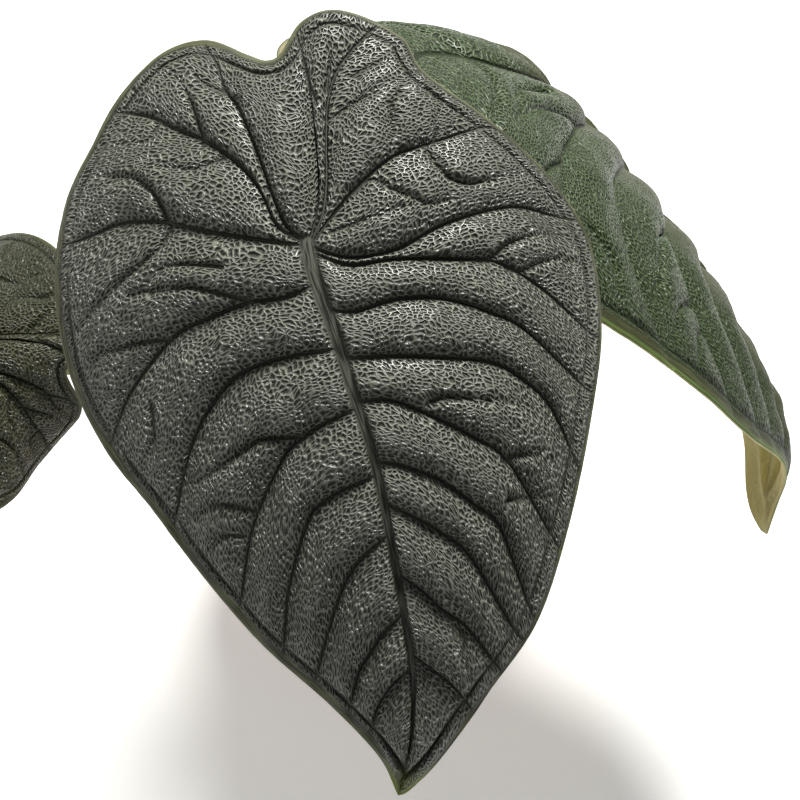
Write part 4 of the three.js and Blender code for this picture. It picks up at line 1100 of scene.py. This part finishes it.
def makeStem():
    shape = stemShape
    heights = np.linspace(shape["bottom"], shape["top"] + 0.2, shape["rings"])
    firstScar = shape["bottom"] + shape["firstScar"]
    lastScar = shape["top"] - shape["lastScar"]
    scarHeights = np.linspace(firstScar, lastScar, shape["scars"] + 1)
    profile = []
    for z in heights:
        share = np.clip((z - firstScar) / (lastScar - firstScar), 0, 1)
        r = shape["radius"] * (1 - shape["taper"] * (1 - math.sin(math.pi * share)))
        r = min(r, shape["bottomRadius"] + (z - shape["bottom"]) * shape["footSlope"])
        behind = min(abs(z - s) for s in scarHeights)
        r += shape["lip"] - (shape["lip"] + shape["groove"]) * math.exp(-(behind / 0.9) ** 2)
        shoulder = shape["top"] - z
        if shoulder < shape["shoulder"]:
            r -= shape["shoulderDrop"] * (1 - shoulder / shape["shoulder"]) ** 2
        profile.append((r, z))
    rings, place = turnedRings(profile, shape["sides"])
    # papery edges and lengthwise fibres
    for i, (r, z) in enumerate(profile):
        for j in range(shape["sides"]):
            x, y, _ = rings[i, j] / max(r, 1)
            rough = noise.noise(Vector((x * 7, y * 7, z * 0.12))) * 0.35
            rough += noise.noise(Vector((x * 22, y * 22, z * 0.5))) * 0.16
            rings[i, j, :2] *= 1 + rough / max(r, 1)
    piece = tubeFrom("stemTrunk", rings, place)
    # what dropped leaves leave behind is dead and papery: matt, with fibres along it and dark scars
    material, tree, surface = newMaterial(
        "dry stem skin, ringed and papery", {"Roughness": shape["roughness"]})
    objectPlace = addNode(tree, "TexCoord").outputs["Object"]
    stretched = addNode(
        tree, "VectorMath", {"operation": "MULTIPLY", 1: (1.0, 1.0, 0.22)}, {0: objectPlace})
    fibres = addNode(
        tree, "TexNoise", {"Scale": scaleFor(shape["fibre"]), "Detail": 5.0}, {"Vector": stretched})
    patches = addNode(
        tree, "TexNoise", {"Scale": scaleFor(shape["patch"]), "Detail": 3.0}, {"Vector": objectPlace})
    patchShare = addNode(tree, "MapRange", {1: 0.45, 2: 0.7, 3: 0.0, 4: 0.7}, {0: patches})
    height = addNode(tree, "SeparateXYZ", sources={0: objectPlace})
    spacing = (lastScar - firstScar) / shape["scars"] * mm
    fromFirst = addNode(
        tree, "Math", {"operation": "SUBTRACT", 1: firstScar * mm}, {0: height.outputs["Z"]})
    fromScar = addNode(tree, "Math", {"operation": "PINGPONG", 1: spacing / 2}, {0: fromFirst})
    scarShare = addNode(tree, "MapRange", {1: 0.2 * mm, 2: 1.6 * mm, 3: 0.85, 4: 0.0}, {0: fromScar})
    skin = painted(tree, shape["skin"], [
        (fibres, shape["dry"]), (patchShare, shape["green"]), (scarShare, shape["scar"]),
    ])
    bump = addNode(tree, "Bump", {"Strength": 0.8, "Distance": 0.3 * mm}, {"Height": fibres})
    feed(surface, {"Base Color": skin, "Normal": bump})
    piece.data.materials.append(material)
    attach(piece, "root")
    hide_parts("stem")
    print("stem made")


makeStem()


# Pot: round and tapered, thrown and turned, with a banded rim and four drain holes.
pot = {
    "height": 108, "rimRadius": 65, "rimDepth": 22, "rimTaper": 0.6, "shoulderRadius": 60.5,
    "footRadius": 46, "wall": 4.5, "floor": 6, "edge": 1.4, "innerRimRadius": 59.5,
    "holes": 4, "holeRadius": 4.5, "holeCircle": 22, "sides": 144,
    # the dark colour of the grit specks is also painted shade in the turning grooves
    "clay": "#b9714c", "fired": "#a4603f", "salt": "#d9c2ae", "dampSpecksAndGrooveShade": "#8d5238",
    "roughness": 0.88,
    # sizes of the clouds of colour, the waver and spacing of the turning lines, the bloom and the grit
    "cloud": 35.7, "waver": 71.4, "turning": 1.3, "bloom": 18.2, "grit": 0.714,
    "saltBand": (12, 50),       # heights between which the bloom fades
}


def potInnerRadius(z):
    rimBottom = pot["height"] - pot["rimDepth"]
    known = [
        (pot["floor"], pot["footRadius"] - pot["wall"]),
        (rimBottom, pot["shoulderRadius"] - pot["wall"]),
        (pot["height"], pot["innerRimRadius"]),
    ]
    return float(np.interp(z, *np.array(known, float).T))


# profile corners cut back and replaced by small arcs
def roundedCorners(corners, steps=4):
    out = []
    for i, (x, z, radius) in enumerate(corners):
        here = np.array([x, z], float)
        if radius == 0:
            out.append(here)
            continue
        before = np.array(corners[i - 1][:2], float) - here
        after = np.array(corners[i + 1][:2], float) - here
        a = here + before / np.linalg.norm(before) * radius
        b = here + after / np.linalg.norm(after) * radius
        for t in np.linspace(0, 1, steps + 1):
            out.append((1 - t) ** 2 * a + 2 * t * (1 - t) * here + t ** 2 * b)
    return np.array(out)


# long runs of a profile get points every few millimetres
def fineSteps(profile, step):
    out = [profile[0]]
    for a, b in zip(profile[:-1], profile[1:]):
        count = max(1, round(np.linalg.norm(b - a) / step))
        out += [lerp(a, b, t) for t in np.arange(1, count + 1) / count]
    return np.array(out)


def makePot():
    rimBottom = pot["height"] - pot["rimDepth"]
    edge = pot["edge"]
    corners = [
        (0.4, 0, 0), (pot["footRadius"], 0, edge), (pot["shoulderRadius"], rimBottom - 0.2, 0),
        (pot["rimRadius"] - pot["rimTaper"], rimBottom, edge), (pot["rimRadius"], pot["height"], edge * 1.4),
        (potInnerRadius(pot["height"]), pot["height"], edge * 1.4),
        (potInnerRadius(rimBottom), rimBottom, 0),
        (potInnerRadius(pot["floor"]), pot["floor"], 2.5), (0.4, pot["floor"], 0),
    ]
    profile = fineSteps(roundedCorners(corners), 3.0)
    rings, place = turnedRings(profile, pot["sides"])
    piece = tubeFrom("clayPot", rings, place)
    for i in range(pot["holes"]):
        angle = 2 * math.pi * (i + 0.5) / pot["holes"]
        bm = bmesh.new()
        bmesh.ops.create_cone(
            bm, cap_ends=True, segments=40, radius1=pot["holeRadius"] * mm, radius2=pot["holeRadius"] * mm,
            depth=4 * pot["floor"] * mm)
        x = pot["holeCircle"] * math.cos(angle) * mm
        y = pot["holeCircle"] * math.sin(angle) * mm
        bmesh.ops.translate(bm, verts=bm.verts, vec=(x, y, 0))
        mesh = bpy.data.meshes.new("holeCutter")
        bm.to_mesh(mesh)
        bm.free()
        cutter = newObject("holeCutter", mesh)
        cut = piece.modifiers.new("hole", "BOOLEAN")
        cut.object = cutter
        cut.solver = "EXACT"
        settle(piece)
        bpy.data.objects.remove(cutter)
    piece.data.set_sharp_from_angle(angle=math.radians(40))
    piece.data.materials.clear()
    piece.data.materials.append(potMaterial())
    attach(piece, "root")
    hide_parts("pot")
    print("pot made")


# Unglazed earthenware, thrown, turned and fired: chalky, with fine turning lines, grit and a bloom of salts.
def potMaterial():
    material, tree, surface = newMaterial(
        "unglazed earthenware, turned and fired",
        {"Roughness": pot["roughness"], "Specular IOR Level": 0.3})
    place = addNode(tree, "TexCoord").outputs["Object"]
    height = addNode(tree, "SeparateXYZ", sources={0: place})
    clouds = addNode(
        tree, "TexNoise", {"Scale": scaleFor(pot["cloud"]), "Detail": 5.0, "Roughness": 0.6},
        {"Vector": place})
    clayShare = addNode(tree, "MapRange", {1: 0.32, 2: 0.68, 3: 0.0, 4: 1.0}, {0: clouds})
    # turning lines: noise that changes only with height, wavering a little round the pot, with painted shade
    # darkening their grooves
    waver = scaleFor(pot["waver"])
    stretched = addNode(
        tree, "VectorMath", {"operation": "MULTIPLY", 1: (waver, waver, scaleFor(pot["turning"]))},
        {0: place})
    lines = addNode(tree, "TexNoise", {"Scale": 1.0, "Detail": 4.0}, {"Vector": stretched})
    turningGrooveShade = addNode(tree, "MapRange", {1: 0.3, 2: 0.7, 3: 0.25, 4: 0.0}, {0: lines})
    # salts dry out in broken patches, most of them near the foot
    bloom = addNode(
        tree, "TexNoise", {"Scale": scaleFor(pot["bloom"]), "Detail": 6.0, "Roughness": 0.65},
        {"Vector": place})
    bloomShare = addNode(tree, "MapRange", {1: 0.5, 2: 0.72, 3: 0.0, 4: 0.75}, {0: bloom})
    low, high = pot["saltBand"]
    lowBand = addNode(
        tree, "MapRange", {"interpolation_type": "SMOOTHSTEP", 1: low * mm, 2: high * mm, 3: 1.0, 4: 0.15},
        {0: height.outputs["Z"]})
    salted = addNode(tree, "Math", {"operation": "MULTIPLY"}, {0: bloomShare, 1: lowBand})
    grit = addNode(
        tree, "TexNoise", {"Scale": scaleFor(pot["grit"]), "Detail": 3.0}, {"Vector": place})
    specks = addNode(tree, "MapRange", {1: 0.64, 2: 0.72, 3: 0.0, 4: 0.5}, {0: grit})
    clay = painted(tree, pot["clay"], [
        (clayShare, pot["fired"]), (turningGrooveShade, pot["dampSpecksAndGrooveShade"]), (salted, pot["salt"]), (specks, pot["dampSpecksAndGrooveShade"]),
    ])
    grains = addNode(tree, "Bump", {"Strength": 0.5, "Distance": 0.12 * mm}, {"Height": grit})
    turned = addNode(
        tree, "Bump", {"Strength": 0.7, "Distance": 0.25 * mm}, {"Height": lines, "Normal": grains})
    feed(surface, {"Base Color": clay, "Normal": turned})
    return material


makePot()

# Potting mix: crumbly body with a lumpy top, strewn with bark, pumice and lava.
mix = {
    "level": 95, "swell": 3, "swellRadius": 30, "ripple": 0.8, "wallAir": 0.45, "bottom": 6.3,
    "crumb": 0.7, "patch": 5.26, "dent": 2.38, "roughness": 0.95, "sides": 180,
    # where lumps may lie: off the stem and the wall, above this height, on faces this level
    "stemClear": 17, "wallClear": 3.5, "lowest": 90, "upright": 0.3,
    # the darkest soil colour, and the third colour of each strewn kind, are painted shade for the hollows
    "soil": "#3a2b20", "soilHollowShade": "#1d1610", "soilPale": "#5c4634",
    "strewn": {                 # spacing, smallest and largest half sizes in mm, lumpiness
        "barkChips": {
            "spacing": 2.9, "low": (1.6, 1.0, 0.5), "high": (4.6, 2.4, 1.1), "lumps": 0.8, "seed": 3,
            "colours": ("#5a3b26", "#7d5738", "#33231a"), "roughness": 0.85, "angular": True,
        },
        "pumiceGrit": {
            "spacing": 6.4, "low": (1.0, 0.9, 0.8), "high": (2.3, 2.0, 1.7), "lumps": 0.9, "seed": 8,
            "colours": ("#cfc8b8", "#e6e1d5", "#9f9786"), "roughness": 0.95, "angular": False,
        },
        "lavaGrit": {
            "spacing": 5.6, "low": (1.0, 0.8, 0.8), "high": (2.6, 2.1, 1.8), "lumps": 1.0, "seed": 21,
            "colours": ("#3d2a25", "#5b3a31", "#1c1614"), "roughness": 0.95, "angular": False,
        },
    },
}


def soilHeight(x, y):
    lump = mix["swell"] * math.exp(-(math.hypot(x, y) / mix["swellRadius"]) ** 2)
    ripple = math.sin(0.31 * x + 1.3) * math.cos(0.27 * y - 0.6) + 0.6 * math.sin(0.13 * x - 0.21 * y)
    crumbs = noise.noise(Vector((x / 2.6, y / 2.6, 1.7))) * 0.7
    crumbs += noise.noise(Vector((x / 1.1, y / 1.1, 4.2))) * 0.3
    return mix["level"] + lump + mix["ripple"] * ripple + crumbs * 0.9


def makeSoil():
    stemHole = stemShape["radius"] + 0.2
    profile = [(0.4, stemShape["bottom"] - 0.6), (stemHole, stemShape["bottom"] - 0.6)]
    profile += [(stemHole, z) for z in np.linspace(70, mix["level"] - 1, 5)]
    topStart = len(profile)
    rimInside = potInnerRadius(mix["level"]) - mix["wallAir"]
    profile += [(r, 0) for r in np.linspace(stemHole + 0.2, rimInside - 0.3, 52)]
    topEnd = len(profile)
    downWall = np.linspace(mix["level"] - 1.5, mix["bottom"], 12)
    profile += [(potInnerRadius(z) - mix["wallAir"], z) for z in downWall]
    profile.append((0.4, mix["bottom"]))
    rings, place = turnedRings(profile, mix["sides"])
    for ring in rings[topStart:topEnd]:
        for point in ring:
            point[2] = soilHeight(point[0], point[1])
    body = tubeFrom("pottingMix", rings, place)
    colours = (mix["soil"], mix["soilPale"], mix["soilHollowShade"])
    material = soilMaterial("crumbly potting mix, loose and dry", colours, mix["roughness"])
    body.data.materials.append(material)
    tree = strewnTree()
    made = [body]
    for name, grit in mix["strewn"].items():
        made.append(strewnPiece(name, grit, body, tree))
    for piece in made:
        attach(piece, "root")
        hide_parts("soil")
    print("potting mix made,", sum(len(p.data.polygons) for p in made), "faces")


# Geometry Nodes: strews lumps over the top of the potting mix, each turned, sized and roughened differently.
def strewnTree():
    tree, given = newTree("strewn", {
        "Geometry": "Geometry", "Spacing": "Float", "Lumps": "Float", "Reach": "Float",
        "Clearance": "Float", "Lowest": "Float", "Upright": "Float", "Smallest": "Vector",
        "Largest": "Vector", "Angular": "Bool", "Seed": "Int", "Material": "Material",
    })
    facing = addNode(tree, "SeparateXYZ", sources={0: addNode(tree, "GeometryNodeInputNormal").outputs[0]})
    place = addNode(tree, "GeometryNodeInputPosition").outputs[0]
    flatPlace = addNode(tree, "VectorMath", {"operation": "MULTIPLY", 1: (1, 1, 0)}, {0: place})
    radius = addNode(tree, "VectorMath", {"operation": "LENGTH"}, {0: flatPlace})
    # lumps lie on the top face, clear of the stem and of the pot's wall
    high = addNode(tree, "SeparateXYZ", sources={0: place})
    chosen = None
    for value, operation, limit in (
        (radius, "LESS_THAN", "Reach"), (radius, "GREATER_THAN", "Clearance"),
        (facing.outputs["Z"], "GREATER_THAN", "Upright"), (high.outputs["Z"], "GREATER_THAN", "Lowest"),
    ):
        passed = addNode(
            tree, "FunctionNodeCompare", {"data_type": "FLOAT", "operation": operation},
            {0: value, 1: given[limit]})
        if chosen:
            passed = addNode(tree, "FunctionNodeBooleanMath", {"operation": "AND"}, {0: chosen, 1: passed})
        chosen = passed
    points = addNode(
        tree, "GeometryNodeDistributePointsOnFaces",
        {"distribute_method": "POISSON", "Density Max": 400000.0},
        {"Mesh": given["Geometry"], "Selection": chosen, "Distance Min": given["Spacing"],
         "Seed": given["Seed"]})
    block = addNode(
        tree, "GeometryNodeMeshCube", {"Size": (2, 2, 2), "Vertices X": 4, "Vertices Y": 3, "Vertices Z": 2})
    pebble = addNode(tree, "GeometryNodeMeshIcoSphere", {"Radius": 1.0, "Subdivisions": 2})
    lump = addNode(
        tree, "GeometryNodeSwitch", {"input_type": "GEOMETRY"},
        {"Switch": given["Angular"], "False": pebble, "True": block})
    turn = addNode(
        tree, "FunctionNodeRandomValue",
        {"data_type": "FLOAT_VECTOR", 0: (-0.45, -0.45, 0), 1: (0.45, 0.45, 6.28)},
        {"Seed": given["Seed"]})
    size = addNode(
        tree, "FunctionNodeRandomValue", {"data_type": "FLOAT_VECTOR"},
        {0: given["Smallest"], 1: given["Largest"], "Seed": given["Seed"]})
    strewn = addNode(
        tree, "GeometryNodeInstanceOnPoints",
        sources={"Points": points, "Instance": lump, "Rotation": turn, "Scale": size})
    real = addNode(tree, "GeometryNodeRealizeInstances", sources={0: strewn})
    here = addNode(tree, "GeometryNodeInputPosition").outputs[0]
    rough = addNode(
        tree, "TexNoise", {"Scale": scaleFor(mix["dent"]), "Detail": 2.0}, {"Vector": here})
    centred = addNode(
        tree, "VectorMath", {"operation": "SUBTRACT", 1: (0.5, 0.5, 0.5)}, {0: rough.outputs["Color"]})
    pushed = addNode(tree, "VectorMath", {"operation": "SCALE"}, {0: centred, "Scale": given["Lumps"]})
    lumpy = addNode(tree, "GeometryNodeSetPosition", sources={"Geometry": real, "Offset": pushed})
    dressed = addNode(
        tree, "GeometryNodeSetMaterial", sources={"Geometry": lumpy, "Material": given["Material"]})
    addNode(tree, "NodeGroupOutput", sources={0: dressed})
    return tree


def strewnPiece(name, grit, body, tree):
    piece = newObject(name, body.data.copy())
    shapeWith(piece, tree, {
        "Spacing": grit["spacing"] * mm,
        "Lumps": grit["lumps"] * 2 * mm,
        "Reach": (potInnerRadius(mix["level"]) - mix["wallClear"]) * mm,
        "Clearance": mix["stemClear"] * mm,
        "Lowest": mix["lowest"] * mm,
        "Upright": mix["upright"],
        "Smallest": [v * mm for v in grit["low"]],
        "Largest": [v * mm for v in grit["high"]],
        "Angular": grit["angular"],
        "Seed": grit["seed"],
        "Material": soilMaterial(f"loose {name}, broken and dusty", grit["colours"], grit["roughness"]),
    })
    return piece


# Loose mineral or bark matter: matte, with painted shade in its hollows, paler dust and fine crumbs.
def soilMaterial(name, colours, roughness):
    material, tree, surface = newMaterial(name, {"Roughness": roughness, "Specular IOR Level": 0.25})
    place = addNode(tree, "TexCoord").outputs["Object"]
    patches = addNode(
        tree, "TexNoise", {"Scale": scaleFor(mix["patch"]), "Detail": 4.0}, {"Vector": place})
    patchShare = addNode(tree, "MapRange", {1: 0.38, 2: 0.62, 3: 0.0, 4: 1.0}, {0: patches})
    crumbs = addNode(
        tree, "TexNoise", {"Scale": scaleFor(mix["crumb"]), "Detail": 4.0}, {"Vector": place})
    # painted shade: darker where the crumb bump sinks
    hollowShadeShare = addNode(tree, "MapRange", {1: 0.55, 2: 0.35, 3: 0.0, 4: 0.8}, {0: crumbs})
    matter = painted(tree, colours[0], [(patchShare, colours[1]), (hollowShadeShare, colours[2])])
    bump = addNode(tree, "Bump", {"Strength": 0.9, "Distance": 0.4 * mm}, {"Height": crumbs})
    feed(surface, {"Base Color": matter, "Normal": bump})
    return material


makeSoil()

# Pale floor, a soft sky that is brighter above and behind, and lamps that rake over the quilting.
studio = {
    "floorHalf": 3.0,
    "floor": "#f3f3f2",
    "skyBright": 0.4,
    "skyDim": 0.04,
    "floorGlow": 0.3,           # keeps shadows on the paper pale
    "skyTowards": (-0.1, 0.62, 0.78),
    "lampsAt": (-0.02, -0.1, 0.2),
    "lamps": {                  # place, diameter, watts, colour
        "topLamp": ((0.24, 0.5, 1.17), 0.36, 24.5, "#fffffa"),
        "leftLamp": ((-1.0, 0.1, 0.6), 0.3, 2.5, "#fffaf2"),
        "frontLamp": ((-0.25, -1.35, 0.42), 0.14, 0.8, "#f6faff"),
    },
}


def makeFloor():
    mesh = bpy.data.meshes.new("floor")
    half = studio["floorHalf"]
    corners = [(-half, -half, 0), (half, -half, 0), (half, half, 0), (-half, half, 0)]
    mesh.from_pydata(corners, [], [(0, 1, 2, 3)])
    floor = newObject("floor", mesh)
    paper = toLinear(studio["floor"])
    material, _, _ = newMaterial("matte paper floor, plain and pale", {
        "Base Color": paper, "Roughness": 0.9, "Emission Color": paper,
        "Emission Strength": studio["floorGlow"],
    })
    mesh.materials.append(material)


def makeSky():
    world = bpy.data.worlds.new("studio")
    world.use_nodes = True
    tree = world.node_tree
    tree.nodes.clear()
    towards = addNode(tree, "TexCoord").outputs["Generated"]
    facing = addNode(
        tree, "VectorMath", {"operation": "DOT_PRODUCT", 1: studio["skyTowards"]}, {0: towards})
    strength = addNode(
        tree, "MapRange",
        {"interpolation_type": "SMOOTHSTEP", 1: -0.3, 2: 1.0, 3: studio["skyDim"], 4: studio["skyBright"]},
        {0: facing})
    background = addNode(tree, "Background", sources={"Strength": strength})
    addNode(tree, "OutputWorld", sources={0: background})
    scene.world = world


def makeLamps():
    aim = Vector(studio["lampsAt"])
    for name, (place, diameter, watts, colour) in studio["lamps"].items():
        light = bpy.data.lights.new(name, "AREA")
        light.shape = "DISK"
        light.size = diameter
        light.energy = watts
        light.color = toLinear(colour)[:3]
        lamp = newObject(name, light)
        lamp.location = place
        lamp.rotation_euler = (aim - Vector(place)).to_track_quat("-Z", "Y").to_euler()


makeFloor()
makeSky()
makeLamps()
scene.view_settings.view_transform = "Standard"
print("studio made")

# Camera at the photograph's angle, from above and in front.
view = {"sensor": 36, "lens": 59.85, "nearest": 0.02, "place": (0, -0.3355, 0.5278), "tilt": 38}
camera = newObject("camera", bpy.data.cameras.new("camera"))
camera.data.sensor_width = view["sensor"]
camera.data.lens = view["lens"]
camera.data.clip_start = view["nearest"]
camera.location = view["place"]
camera.rotation_euler = (math.radians(view["tilt"]), 0, 0)
scene.camera = camera

print("scene ready")
